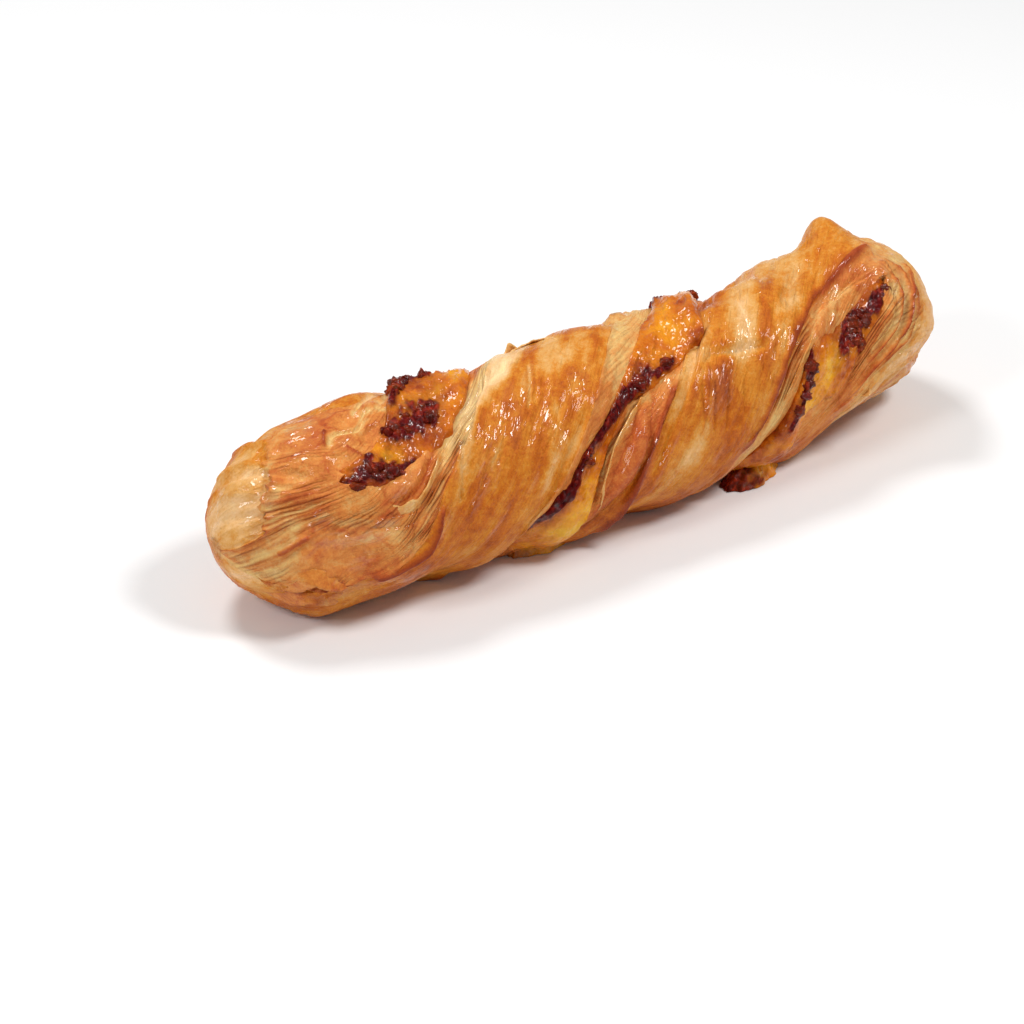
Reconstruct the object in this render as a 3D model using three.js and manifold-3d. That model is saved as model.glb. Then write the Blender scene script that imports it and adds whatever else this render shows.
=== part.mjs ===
// Cheese pastry twist: a strip of puff pastry, folded over a layer of cheese and turned once
// about its length, then baked on a flat tray. The pastry is one piece with a slot through it
// from one long cut edge to the other, and the cheese runs through that slot.
// Millimetres and degrees, +Z up, X along the twist, origin under the middle of its box.
import * as THREE from "three";
import { ParametricGeometry } from "three/addons/geometries/ParametricGeometry.js";
import { mergeVertices } from "three/addons/utils/BufferGeometryUtils.js";
import Module from "manifold-3d";

const wasm = await Module();
wasm.setup();

// The whole twist
const LENGTH = 230;
const RADIUS = 27.4;
const AXIS_HEIGHT = 22.4; // less than RADIUS, so that the underside is flat from the tray
const RIGHT_END_RISE = { from: 40, height: 3.4 };
const BOW = 5.3; // how far both ends lie behind the middle
const BOX_SHIFT = { x: 0, y: -1.6 }; // brings the box's middle to the origin
const LEFT_END = { length: 40, roundness: 2.0 };
const RIGHT_END = { length: 31, roundness: 2.4 };

// The twist: the direction of cut edge A, up from the front, at each place along X
const MIDDLE_ANGLE = 217;
const TURN_PER_MM = 2.35;
const FIRST_ANGLE = 52;
const LAST_ANGLE = 424;
const TWIST_EASE = 12;

// Each cut edge, measured round the surface from the strip's middle line to each sheet's skin
const EDGE_SPANS = { A: { sheet1: 22, sheet2: 22.5 }, B: { sheet1: 19, sheet2: 14 } };
const SPAN_GROWTH = 0.07; // sheet 2's span at edge A grows this much for each millimetre along X
const END_SPAN = 34;
const RIGHT_CREASE = { from: 52, to: 96, span: 11 }; // sheet 2's skin closes on the folded end
const GROOVE_DEPTH = 3.8;
const END_GROOVE_DEPTH = 0.6;
const LEFT_EASE = { from: -93, to: -57 }; // where the edges open out from an end's shape
const RIGHT_EASE = { from: 69, to: 105 };
const SKIN_LIP = 0.6;
const LIP_WIDTH = 2.4;
const TUCK = { depth: 2.2, width: 3.4 }; // the crease where sheet 2's skin turns in to its edges
const FOLD_X = 88; // beyond here the leaves wrap round the folded right end
const LEAF_COUNT = 4;
const LEAF_DEPTH = 0.75;
const LEAF_WAVE = { pitch: 31, swing: 0.45 };

// The cheese layer
const CHEESE_START = -87;
const CHEESE_STOP = 93;
const CHEESE_HALF_THICK = 2.1;
const CHEESE_END_TAPER = 12;
const BEAD_HALF = 3.4;
const BEAD_SINK = 1.0; // how far the bead lies below the pastry's edges where nothing has oozed
const FLARE_FROM = 0.5; // shares of RADIUS between which the layer widens to its bead
const FLARE_TO = 0.74;
const REACH_POWER = 0.6; // how the section's points crowd towards its two beads
const BEAD_POWER = 0.45; // how square a bead's top is: less is squarer
const LIP_POWER = 0.2; // the same for the slot's open lips
const LIP_SHARE = { from: 0.87, to: 0.96 }; // shares of the section where the slot opens
const SLOT_GAP = 0.3;
const SLOT_OVERCUT = 12;

// Where cheese has oozed: along X, its reach there, added half width and lift, and how far the
// ooze has run to one side, towards sheet 1
const OOZE = [
  { edge: "A", x: -64, reach: 15, spread: 4.2, lift: 0.8, lean: 1 },
  { edge: "A", x: -40, reach: 10, spread: 3.2, lift: 2.2, lean: 1 },
  { edge: "A", x: 48, reach: 8, spread: 3.6, lift: 4.2, lean: 5 },
  { edge: "A", x: 68, reach: 10, spread: 2.6, lift: 0.9, lean: 1 },
  { edge: "A", x: 60, reach: 6, spread: 3, lift: 0.4, lean: -4 },
  { edge: "B", x: 34, reach: 11, spread: 7, lift: 3.4, lean: -3 },
  { edge: "B", x: 19, reach: 13, spread: 5.4, lift: 0.9, lean: 7 },
  { edge: "B", x: -25, reach: 9.5, spread: 8.5, lift: 1.8, lean: -12 },
];

// Cheese that has run down on to the tray: the middle, half sizes and turn of each run
const RUNS = [
  { x: -26, y: -16, z: 3.5, halfLength: 12, halfWidth: 8, halfHeight: 8.5, turn: 5 },
  { x: 40, y: -17, z: 2.2, halfLength: 9.5, halfWidth: 6, halfHeight: 7, turn: 6 },
];

// Where the cheese lies to one side of the strip's middle line, towards sheet 1
const WANDER = [
  { edge: "A", x: -36, reach: 16, shift: 8 },
  { edge: "A", x: 50, reach: 16, shift: -9 },
  { edge: "B", x: -24, reach: 20, shift: 12 },
  { edge: "B", x: 22, reach: 15, shift: -8.5 },
];

// Single swellings and dents of the crust: along X, angle up from the front, size across, height
const SWELLINGS = [
  { name: "peak", x: 91, angle: 118, across: 7, height: 6.4 },
  { name: "dent beside the peak", x: 83, angle: 127, across: 7, height: -2.6 },
  { name: "ledge", x: 68, angle: 118, across: 9, height: 1 },
  { name: "dip behind the cheese", x: 55, angle: 123, across: 7, height: -4 },
  { name: "notch", x: 45, angle: 100, across: 6, height: -2.6 },
  { name: "crown", x: 3, angle: 118, across: 16, height: 1.4 },
  { name: "left crest", x: -46, angle: 126, across: 16, height: 2.8 },
  { name: "left shoulder", x: -70, angle: 110, across: 16, height: 1.4 },
  { name: "right cheek", x: 96, angle: 30, across: 15, height: 1.5 },
  { name: "hollow under the left band", x: -62, angle: -48, across: 15, height: -5 },
  { name: "hollow under the middle band", x: -3, angle: -50, across: 15, height: -3 },
  { name: "hollow under the right end", x: 84, angle: -46, across: 20, height: -6.5 },
  { name: "hollow under the right tip", x: 106, angle: -18, across: 10, height: -6 },
];
const LUMPS = { count: 6, height: 0.55, pitch: 62, lobes: 4, phase: 2.4 };

// Facets
const PASTRY_COLUMNS = 80;
const PASTRY_ROWS = 48;
const EDGE_CROWDING = 0.35; // how much closer columns lie at the cut edges than on the bands
const CHEESE_COLUMNS = 24;
const CHEESE_ROWS = 40;
const RUN_COLUMNS = 16;
const RUN_ROWS = 10;

const radians = THREE.MathUtils.degToRad;
const { lerp, smoothstep } = THREE.MathUtils;
const hump = (distance, reach) => Math.exp(-((distance / reach) ** 2));
const softPlus = (value, ease) => ease * Math.log1p(Math.exp(value / ease));
const signedPower = (value, power) =>
  Math.abs(value) < 1e-9 ? 0 : Math.sign(value) * Math.abs(value) ** power;

// Angle of cut edge A at x, easing to a stop towards both ends
function edgeAngle(x) {
  const turned = MIDDLE_ANGLE + TURN_PER_MM * x;
  const started = softPlus(turned - FIRST_ANGLE, TWIST_EASE);
  const stopped = softPlus(turned - LAST_ANGLE, TWIST_EASE);
  return FIRST_ANGLE + started - stopped;
}

// Share of the full radius at x: 1 along the body, rounding to 0 at each end
function endShare(x) {
  const share = (distance, end) => {
    const inside = THREE.MathUtils.clamp(1 - distance / end.length, 0, 1);
    return Math.max(1 - inside ** end.roundness, 0) ** (1 / end.roundness);
  };
  return share(LENGTH / 2 + x, LEFT_END) * share(LENGTH / 2 - x, RIGHT_END);
}

// A point at a radius from the axis, in the direction angle, up from the front
function around(x, radius, angle, target) {
  const rise = RIGHT_END_RISE.height * smoothstep(x, RIGHT_END_RISE.from, LENGTH / 2);
  const bow = BOW * (2 * x / LENGTH) ** 2;
  return target.set(
    x + BOX_SHIFT.x,
    bow + BOX_SHIFT.y - radius * Math.cos(radians(angle)),
    AXIS_HEIGHT + rise + radius * Math.sin(radians(angle)),
  );
}

// Shift of one edge's cheese line round the surface at x
function wander(x, edge) {
  return WANDER.filter((w) => w.edge === edge)
    .reduce((sum, w) => sum + w.shift * hump(x - w.x, w.reach), 0);
}

// How much of the body's middle, rather than an end, there is at x
function middleShare(x) {
  return smoothstep(x, LEFT_EASE.from, LEFT_EASE.to)
    * (1 - smoothstep(x, RIGHT_EASE.from, RIGHT_EASE.to));
}

// How far round from an edge's middle line a sheet's skin starts at x
function skinStart(x, edge, sheet) {
  const span = EDGE_SPANS[edge][sheet];
  if (edge === "B" || sheet === "sheet1") return lerp(END_SPAN, span, middleShare(x));
  const grown = span + SPAN_GROWTH * x;
  const opened = x < 0 ? lerp(END_SPAN, grown, middleShare(x)) : grown;
  return lerp(opened, RIGHT_CREASE.span, smoothstep(x, RIGHT_CREASE.from, RIGHT_CREASE.to));
}

// Place of a point in the nearer cut edge: which sheet it is in, how far round it is from the
// cheese, and how much room there is from the cheese to the skin
function placeInEdge(x, stripAngle) {
  const edge = Math.cos(radians(stripAngle)) > 0 ? "A" : "B";
  const turn = edge === "A" ? stripAngle - 360 * Math.round(stripAngle / 360) : 180 - stripAngle;
  const line = wander(x, edge);
  const off = radians(turn) * RADIUS - line;
  const sheet = off > 0 ? "sheet1" : "sheet2";
  return {
    sheet,
    distance: Math.hypot(off, Math.max(x - FOLD_X, 0)),
    room: skinStart(x, edge, sheet) - Math.sign(off) * line,
  };
}

// Ridges of the leaves in a cut edge, between the cheese and the skin
function leaves(x, distance, room) {
  const across = (distance - BEAD_HALF) / (room - BEAD_HALF);
  if (across <= 0 || across >= 1) return 0;
  const wave = LEAF_WAVE.swing * Math.sin((2 * Math.PI * x) / LEAF_WAVE.pitch);
  return LEAF_DEPTH * (Math.abs(Math.sin(Math.PI * (across * LEAF_COUNT + wave))) - 1);
}

// Low unevenness of the whole crust, from waves of mixed direction
function lumps(x, angle) {
  let height = 0;
  for (let i = 1; i <= LUMPS.count; i++) {
    const along = (2 * Math.PI * x * Math.sqrt(i)) / LUMPS.pitch;
    const round = (i % LUMPS.lobes) * radians(angle);
    height += Math.sin(along + round + LUMPS.phase * i) / Math.sqrt(i);
  }
  return LUMPS.height * height;
}

function swellings(x, angle) {
  return SWELLINGS.reduce((sum, s) => {
    const turn = THREE.MathUtils.euclideanModulo(angle - s.angle + 180, 360) - 180;
    return sum + s.height * hump(Math.hypot(x - s.x, radians(turn) * RADIUS), s.across);
  }, 0);
}

// The crust's radius at x, at an angle round the strip from edge A towards sheet 1
function crustRadius(x, stripAngle) {
  const { sheet, distance, room } = placeInEdge(x, stripAngle);
  const middle = middleShare(x);
  const groove = lerp(END_GROOVE_DEPTH, GROOVE_DEPTH, middle) * (1 - smoothstep(distance, 0, room));
  const lip = SKIN_LIP * (1 - smoothstep(distance, room - LIP_WIDTH, room));
  const tuck = sheet === "sheet2" ? middle * TUCK.depth * hump(distance - room, TUCK.width) : 0;
  const angle = edgeAngle(x) - stripAngle;
  const relief = lumps(x, angle) + swellings(x, angle) + leaves(x, distance, room);
  return endShare(x) * (RADIUS - groove - lip - tuck + relief);
}

// The crust as a closed surface, u round the strip and v along it, grown by a gap
function crustSurface(gap) {
  return (u, v, target) => {
    const x = (LENGTH / 2 + gap) * Math.sin(Math.PI * (v - 0.5));
    const stripAngle = 360 * u - (EDGE_CROWDING * 90 / Math.PI) * Math.sin(4 * Math.PI * u);
    const radius = crustRadius(x, stripAngle) + gap * Math.sqrt(endShare(x));
    around(x, radius, edgeAngle(x) - stripAngle, target);
  };
}

// Angle round the strip, from edge A, of one edge's cheese line
function lineAngle(x, edge) {
  const turn = THREE.MathUtils.radToDeg(wander(x, edge) / RADIUS);
  return edge === "A" ? turn : 180 - turn;
}

// Half width, outer radius and sideways shift of the cheese bead along one cut edge
function bead(x, edge) {
  const oozed = OOZE.filter((o) => o.edge === edge);
  const total = (key) => oozed.reduce((sum, o) => sum + o[key] * hump(x - o.x, o.reach), 0);
  return {
    half: BEAD_HALF + total("spread"),
    radius: crustRadius(x, lineAngle(x, edge)) - BEAD_SINK + total("lift"),
    shift: total("lean") + wander(x, edge),
  };
}

// The cheese as a closed surface, u round its section and v along it. The slot that it lies in is
// the same surface with a gap round it and with its two outer lips cut out past the crust.
function cheeseSurface(gap, overcut) {
  return (u, v, target) => {
    const start = CHEESE_START - gap;
    const stop = CHEESE_STOP + gap;
    const x = start + (stop - start) * (1 - Math.cos(Math.PI * v)) / 2;
    const taper = Math.min((x - start) / CHEESE_END_TAPER, (stop - x) / CHEESE_END_TAPER, 1);
    const end = Math.sqrt(Math.max(taper * (2 - taper), 0));
    const across = Math.cos(2 * Math.PI * u);
    const edge = across > 0 ? "A" : "B";
    const { half, radius, shift } = bead(x, edge);
    const reach = end * radius * signedPower(across, REACH_POWER);
    const flare = smoothstep(Math.abs(reach), FLARE_FROM * RADIUS, FLARE_TO * RADIUS);
    const thick = end * lerp(CHEESE_HALF_THICK, half, flare);
    const open = overcut > 0 ? smoothstep(Math.abs(across), LIP_SHARE.from, LIP_SHARE.to) : 0;
    const side = signedPower(Math.sin(2 * Math.PI * u), lerp(BEAD_POWER, LIP_POWER, open));
    const off = (thick + end * gap) * side + shift * smoothstep(Math.abs(reach), 0, RADIUS);
    const out = reach + open * overcut * end * Math.sign(across);
    const angle = edgeAngle(x) - THREE.MathUtils.radToDeg(Math.atan2(off, out));
    around(x, Math.hypot(out, off), angle, target);
  };
}

// A closed geometry as a solid, with its shared vertices merged
function solidOf(geometry) {
  geometry.deleteAttribute("normal");
  geometry.deleteAttribute("uv");
  const merged = mergeVertices(geometry, 1e-3);
  const index = merged.index.array;
  const triangles = [];
  for (let i = 0; i < index.length; i += 3) {
    const [a, b, c] = index.slice(i, i + 3);
    if (a !== b && b !== c && c !== a) triangles.push(a, b, c);
  }
  return new wasm.Manifold(new wasm.Mesh({
    numProp: 3,
    vertProperties: merged.attributes.position.array,
    triVerts: new Uint32Array(triangles),
  }));
}

function crustSolid(gap) {
  return solidOf(new ParametricGeometry(crustSurface(gap), PASTRY_COLUMNS, PASTRY_ROWS));
}

function cheeseSolid(gap, overcut) {
  return solidOf(new ParametricGeometry(cheeseSurface(gap, overcut), CHEESE_COLUMNS, CHEESE_ROWS));
}

// A run of cheese down to the tray, as an ellipsoid
function runSolid({ x, y, z, halfLength, halfWidth, halfHeight, turn }) {
  const geometry = new THREE.SphereGeometry(1, RUN_COLUMNS, RUN_ROWS);
  geometry.scale(halfLength, halfWidth, halfHeight);
  geometry.rotateZ(radians(turn));
  geometry.translate(x, y, z);
  return solidOf(geometry);
}

// All the space above the tray, round the twist
function spaceAboveTray() {
  const geometry = new THREE.BoxGeometry(2 * LENGTH, LENGTH, LENGTH);
  geometry.translate(0, 0, LENGTH / 2);
  return solidOf(geometry);
}

// The largest piece of a solid, as a geometry
function geometryOf(solid) {
  const [largest] = solid.decompose().sort((a, b) => b.volume() - a.volume());
  const { vertProperties, triVerts } = largest.getMesh();
  const geometry = new THREE.BufferGeometry();
  geometry.setAttribute("position", new THREE.BufferAttribute(vertProperties, 3));
  geometry.setIndex(new THREE.BufferAttribute(triVerts, 1));
  geometry.computeVertexNormals();
  return geometry;
}

function piece(name, solid, color, roughness) {
  const material = new THREE.MeshStandardMaterial({ color, roughness, metalness: 0 });
  const mesh = new THREE.Mesh(geometryOf(solid), material);
  mesh.name = name;
  return mesh;
}

const aboveTray = spaceAboveTray();
const crust = crustSolid(0).intersect(aboveTray);
const slot = cheeseSolid(SLOT_GAP, SLOT_OVERCUT);
const mouth = cheeseSolid(0, SLOT_OVERCUT);
const keepClear = crustSolid(SLOT_GAP).subtract(mouth);
const cheese = RUNS
  .map((run) => runSolid(run).subtract(keepClear))
  .reduce((sum, run) => sum.add(run), cheeseSolid(0, 0))
  .intersect(aboveTray);

const twist = new THREE.Group();
twist.name = "cheese_pastry_twist";
twist.add(piece("pastry", crust.subtract(slot), 0xd0833b, 0.45));
twist.add(piece("cheese_filling", cheese, 0xe0953a, 0.35));

export default twist;
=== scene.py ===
"""Looks of a cheese pastry twist: two flaky sheets of puff pastry with a layer of browned cheese
between them, turned once about their length. Shapes are worked out in millimetres and degrees, in
the same frame and from the same sizes as the solids that they replace."""
import math

import bmesh
import bpy
import numpy as np
from mathutils import Matrix, Vector


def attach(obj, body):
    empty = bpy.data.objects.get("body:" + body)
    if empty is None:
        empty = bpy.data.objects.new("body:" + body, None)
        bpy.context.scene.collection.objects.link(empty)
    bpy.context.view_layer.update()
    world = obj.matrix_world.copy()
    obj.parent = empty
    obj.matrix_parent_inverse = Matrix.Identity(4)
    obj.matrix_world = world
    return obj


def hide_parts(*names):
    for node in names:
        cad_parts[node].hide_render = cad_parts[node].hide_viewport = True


MM = 0.001

# The whole twist
LENGTH = 230.0
RADIUS = 27.4
AXIS_HEIGHT = 22.4
RIGHT_RISE_FROM = 40.0
RIGHT_RISE = 3.4
BOW = 5.3
SHIFT_Y = -1.6
LEFT_END = (40.0, 2.0)
RIGHT_END = (31.0, 2.4)
HALF_ROUND = math.pi * RADIUS

# The twist: the direction of cut edge A, up from the front
MIDDLE_ANGLE = 217.0
TURN_PER_MM = 2.35
FIRST_ANGLE = 52.0
LAST_ANGLE = 424.0
TWIST_EASE = 12.0

# Each cut edge, from its middle line to the skin of sheet 1 (side 1) and of sheet 2 (side -1)
EDGE_SPANS = {("A", 1): 22.0, ("A", -1): 22.5, ("B", 1): 19.0, ("B", -1): 14.0}
SPAN_GROWTH = 0.07
END_SPAN = 34.0
LEFT_EASE = (-93.0, -57.0)
RIGHT_EASE = (69.0, 105.0)
RIGHT_CREASE = (52.0, 96.0, 11.0)
RIGHT_CREASE_END = (94.0, 101.0)
GROOVE_DEPTH = 3.8
END_GROOVE_DEPTH = 0.6
SKIN_LIP = 0.6
LIP_WIDTH = 2.4
TUCK_DEPTH = 2.2
TUCK_WIDTH = 3.4
FOLD_X = 88.0

# The cheese layer
CHEESE_START = -87.0
CHEESE_STOP = 93.0
CHEESE_HALF_THICK = 2.1
CHEESE_END_TAPER = 12.0
BEAD_HALF = 3.4
SLOT_GAP = 0.3
CLOSED_LIP = -0.15

# Where cheese has oozed: edge, along X, reach, added half width, lift and lean towards sheet 1
OOZE = [
    ("A", -70, 10, 2.5, 0.5, 1),
    ("A", -54, 11, 10.6, 1.4, -2),
    ("A", -40, 8, 2.5, 3.6, 2),
    ("A", 48, 8, 3.6, 4.2, 5),
    ("A", 60, 8, 5.6, 0.5, -4),
    ("A", 72, 10, 4.5, 0.8, 2),
    ("A", 85, 6, 1.0, 0.5, 2.5),
    ("B", 34, 11, 7.0, 5.4, -3),
    ("B", 19, 13, 5.4, 0.9, 7),
    ("B", 1, 9, -0.6, 0.0, 4),
    ("B", -25, 9.5, 9.8, 1.8, -13.2),
]

# Where the cheese lies off an edge's middle line: edge, along X, reach, shift towards sheet 1
WANDER = [("A", -36, 16, 8), ("A", 50, 16, -9), ("B", -24, 20, 12), ("B", 22, 15, -8.5)]

# Swellings of the crust: along X, angle up from the front, size across, height
SWELLINGS = [
    (91, 118, 7.0, 6.4),
    (83, 127, 7.0, -2.6),
    (68, 118, 9.0, 1.0),
    (55, 123, 7.0, -4.0),
    (45, 100, 6.0, -2.6),
    (3, 118, 16.0, 1.4),
    (-46, 126, 16.0, 2.8),
    (-70, 110, 16.0, 1.4),
    (96, 30, 15.0, 1.5),
    (-62, -48, 15.0, -5.0),
    (-3, -50, 15.0, -3.0),
    (84, -46, 20.0, -6.5),
    (106, -18, 10.0, -6.0),
]
LUMP_COUNT = 6
LUMP_HEIGHT = 0.55
LUMP_PITCH = 62.0
LUMP_LOBES = 4
LUMP_PHASE = 2.4

# Runs of cheese on the tray: middle x and y, half sizes along and across, height, turn, the share
# of its length from which it is crisp, and how crisp
RUNS = [
    (-23, -11.4, 12.0, 6.2, 11.0, 8, 0.3, 0.45),
    (44.0, -16.8, 10.0, 5.2, 6.5, 9, -0.15, 0.95),
]

# Grids
SHEET_ROWS = 420
EDGE_COLUMNS = 76
SKIN_COLUMNS = 62
WALL_COLUMNS = 6
SHEET_WALL_EASE = 0.45
CHEESE_WALL_EASE = 0.5
BEAD_ROWS = 400
BEAD_COLUMNS = 72


# Small maths

def smoothstep(value, low, high):
    share = np.clip((value - low) / (high - low), 0.0, 1.0)
    return share * share * (3.0 - 2.0 * share)


def between(value, rise, fall):
    """1 between two eases, 0 before the first and after the second."""
    return smoothstep(value, *rise) * (1 - smoothstep(value, *fall))


def lerp(low, high, share):
    return low + (high - low) * share


def hump(distance, reach):
    return np.exp(-((distance / reach) ** 2))


def soft_plus(value, ease):
    return ease * np.logaddexp(0.0, value / ease)


GRADIENTS = np.array(
    [(a, b, 0) for a in (1, -1) for b in (1, -1)]
    + [(a, 0, b) for a in (1, -1) for b in (1, -1)]
    + [(0, a, b) for a in (1, -1) for b in (1, -1)],
    float,
)


def lattice_hash(ix, iy, iz, seed):
    """A repeatable whole number for each lattice point."""
    mixed = ix.astype(np.uint32) * np.uint32(0x9E3779B1)
    mixed ^= iy.astype(np.uint32) * np.uint32(0x85EBCA77)
    mixed ^= iz.astype(np.uint32) * np.uint32(0xC2B2AE3D)
    mixed += np.uint32(seed * 7919 + 17)
    mixed ^= mixed >> np.uint32(15)
    mixed *= np.uint32(0x2C1B3C6D)
    mixed ^= mixed >> np.uint32(12)
    mixed *= np.uint32(0x297A2D39)
    mixed ^= mixed >> np.uint32(15)
    return mixed


def noise(x, y, z=0.0, seed=0):
    """Smooth noise from about -1 to 1 with features about 1 across."""
    places = np.broadcast_arrays(np.asarray(x, float), np.asarray(y, float), np.asarray(z, float))
    cells = [np.floor(p).astype(np.int64) for p in places]
    parts = [p - c for p, c in zip(places, cells)]
    eased = [p ** 3 * (p * (6 * p - 15) + 10) for p in parts]
    total = np.zeros(places[0].shape)
    for corner in np.ndindex(2, 2, 2):
        gradient = GRADIENTS[lattice_hash(*[c + k for c, k in zip(cells, corner)], seed) % 12]
        slope = sum(gradient[..., n] * (parts[n] - corner[n]) for n in range(3))
        weight = np.ones(places[0].shape)
        for n in range(3):
            weight = weight * (eased[n] if corner[n] else 1 - eased[n])
        total += weight * slope
    return total


def mixed_noise(x, across, parts):
    """Sum of smooth noises, each with a height, sizes along and across, a level and a seed."""
    return sum(h * noise(x / long, across / wide, level, seed) for h, long, wide, level, seed in parts)


# The shape that the solids share

def edge_angle(x):
    turned = MIDDLE_ANGLE + TURN_PER_MM * x
    started = soft_plus(turned - FIRST_ANGLE, TWIST_EASE)
    stopped = soft_plus(turned - LAST_ANGLE, TWIST_EASE)
    return FIRST_ANGLE + started - stopped


def end_share(x):
    """Share of the full radius at x."""
    def share(distance, end):
        length, roundness = end
        inside = np.clip(1.0 - distance / length, 0.0, 1.0)
        return np.maximum(1.0 - inside ** roundness, 0.0) ** (1.0 / roundness)
    return share(LENGTH / 2 + x, LEFT_END) * share(LENGTH / 2 - x, RIGHT_END)


def section_point(x, out, off):
    """Point in the section at x: out towards edge A, off towards the face of sheet 1."""
    angle = np.radians(edge_angle(x))
    y = BOW * (2 * x / LENGTH) ** 2 + SHIFT_Y - out * np.cos(angle) - off * np.sin(angle)
    rise = RIGHT_RISE * smoothstep(x, RIGHT_RISE_FROM, LENGTH / 2)
    z = AXIS_HEIGHT + rise + out * np.sin(angle) - off * np.cos(angle)
    return np.stack(np.broadcast_arrays(x, y, z), -1)


def wander(x, edge):
    return sum(shift * hump(x - at, reach) for e, at, reach, shift in WANDER if e == edge)


def middle_share(x):
    """1 where both cut edges are open, easing to 0 at the ends."""
    return between(x, LEFT_EASE, RIGHT_EASE)


def skin_start(x, edge, side):
    """How far round from an edge's middle line a sheet's skin starts."""
    span = EDGE_SPANS[edge, side]
    opened = lerp(END_SPAN, span, middle_share(x))
    if edge == "B" or side == 1:
        return opened
    grown = span + SPAN_GROWTH * x
    left = lerp(END_SPAN, grown, middle_share(x))
    crease_from, crease_to, crease_span = RIGHT_CREASE
    opened = np.where(x < 0, left, grown)
    creased = lerp(opened, crease_span, smoothstep(x, crease_from, crease_to))
    return lerp(creased, END_SPAN, smoothstep(x, *RIGHT_CREASE_END))


def lumps(x, angle):
    height = 0.0
    for i in range(1, LUMP_COUNT + 1):
        along = 2 * np.pi * x * math.sqrt(i) / LUMP_PITCH
        turned = (i % LUMP_LOBES) * np.radians(angle)
        height = height + np.sin(along + turned + LUMP_PHASE * i) / math.sqrt(i)
    return LUMP_HEIGHT * height


def swellings(x, angle):
    total = 0.0
    for at, direction, across, height in SWELLINGS:
        turn = (angle - direction + 180) % 360 - 180
        total = total + height * hump(np.hypot(x - at, np.radians(turn) * RADIUS), across)
    return total


def bead(x, edge):
    """Half width, lift and sideways shift of the cheese along one cut edge."""
    oozed = [o for o in OOZE if o[0] == edge]
    half = BEAD_HALF + sum(o[3] * hump(x - o[1], o[2]) for o in oozed)
    lift = sum(o[4] * hump(x - o[1], o[2]) for o in oozed)
    shift = sum(o[5] * hump(x - o[1], o[2]) for o in oozed) + wander(x, edge)
    return half, lift, shift


def base_radius(x, place, edge, side):
    """The crust's radius, without leaves, at a place round from an edge's middle line."""
    line = wander(x, edge)
    distance = np.hypot(place - line, np.maximum(x - FOLD_X, 0))
    room = skin_start(x, edge, side) - side * line
    middle = middle_share(x)
    groove = lerp(END_GROOVE_DEPTH, GROOVE_DEPTH, middle) * (1 - smoothstep(distance / room, 0, 1))
    lip = SKIN_LIP * (1 - smoothstep(distance, room - LIP_WIDTH, room))
    tuck = middle * TUCK_DEPTH * hump(distance - room, TUCK_WIDTH) * (side < 0)
    turn = np.degrees(place / RADIUS)
    angle = edge_angle(x) - (turn if edge == "A" else 180 - turn)
    relief = lumps(x, angle) + swellings(x, angle)
    return end_share(x) * (RADIUS - groove - lip - tuck + relief)


def slot_share(x):
    """1 along the slot for the cheese, easing to 0 past its two ends."""
    taper = np.minimum((x - CHEESE_START) / CHEESE_END_TAPER, (CHEESE_STOP - x) / CHEESE_END_TAPER)
    taper = np.clip(taper, 0.0, 1.0)
    return np.sqrt(taper * (2 - taper))
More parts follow.
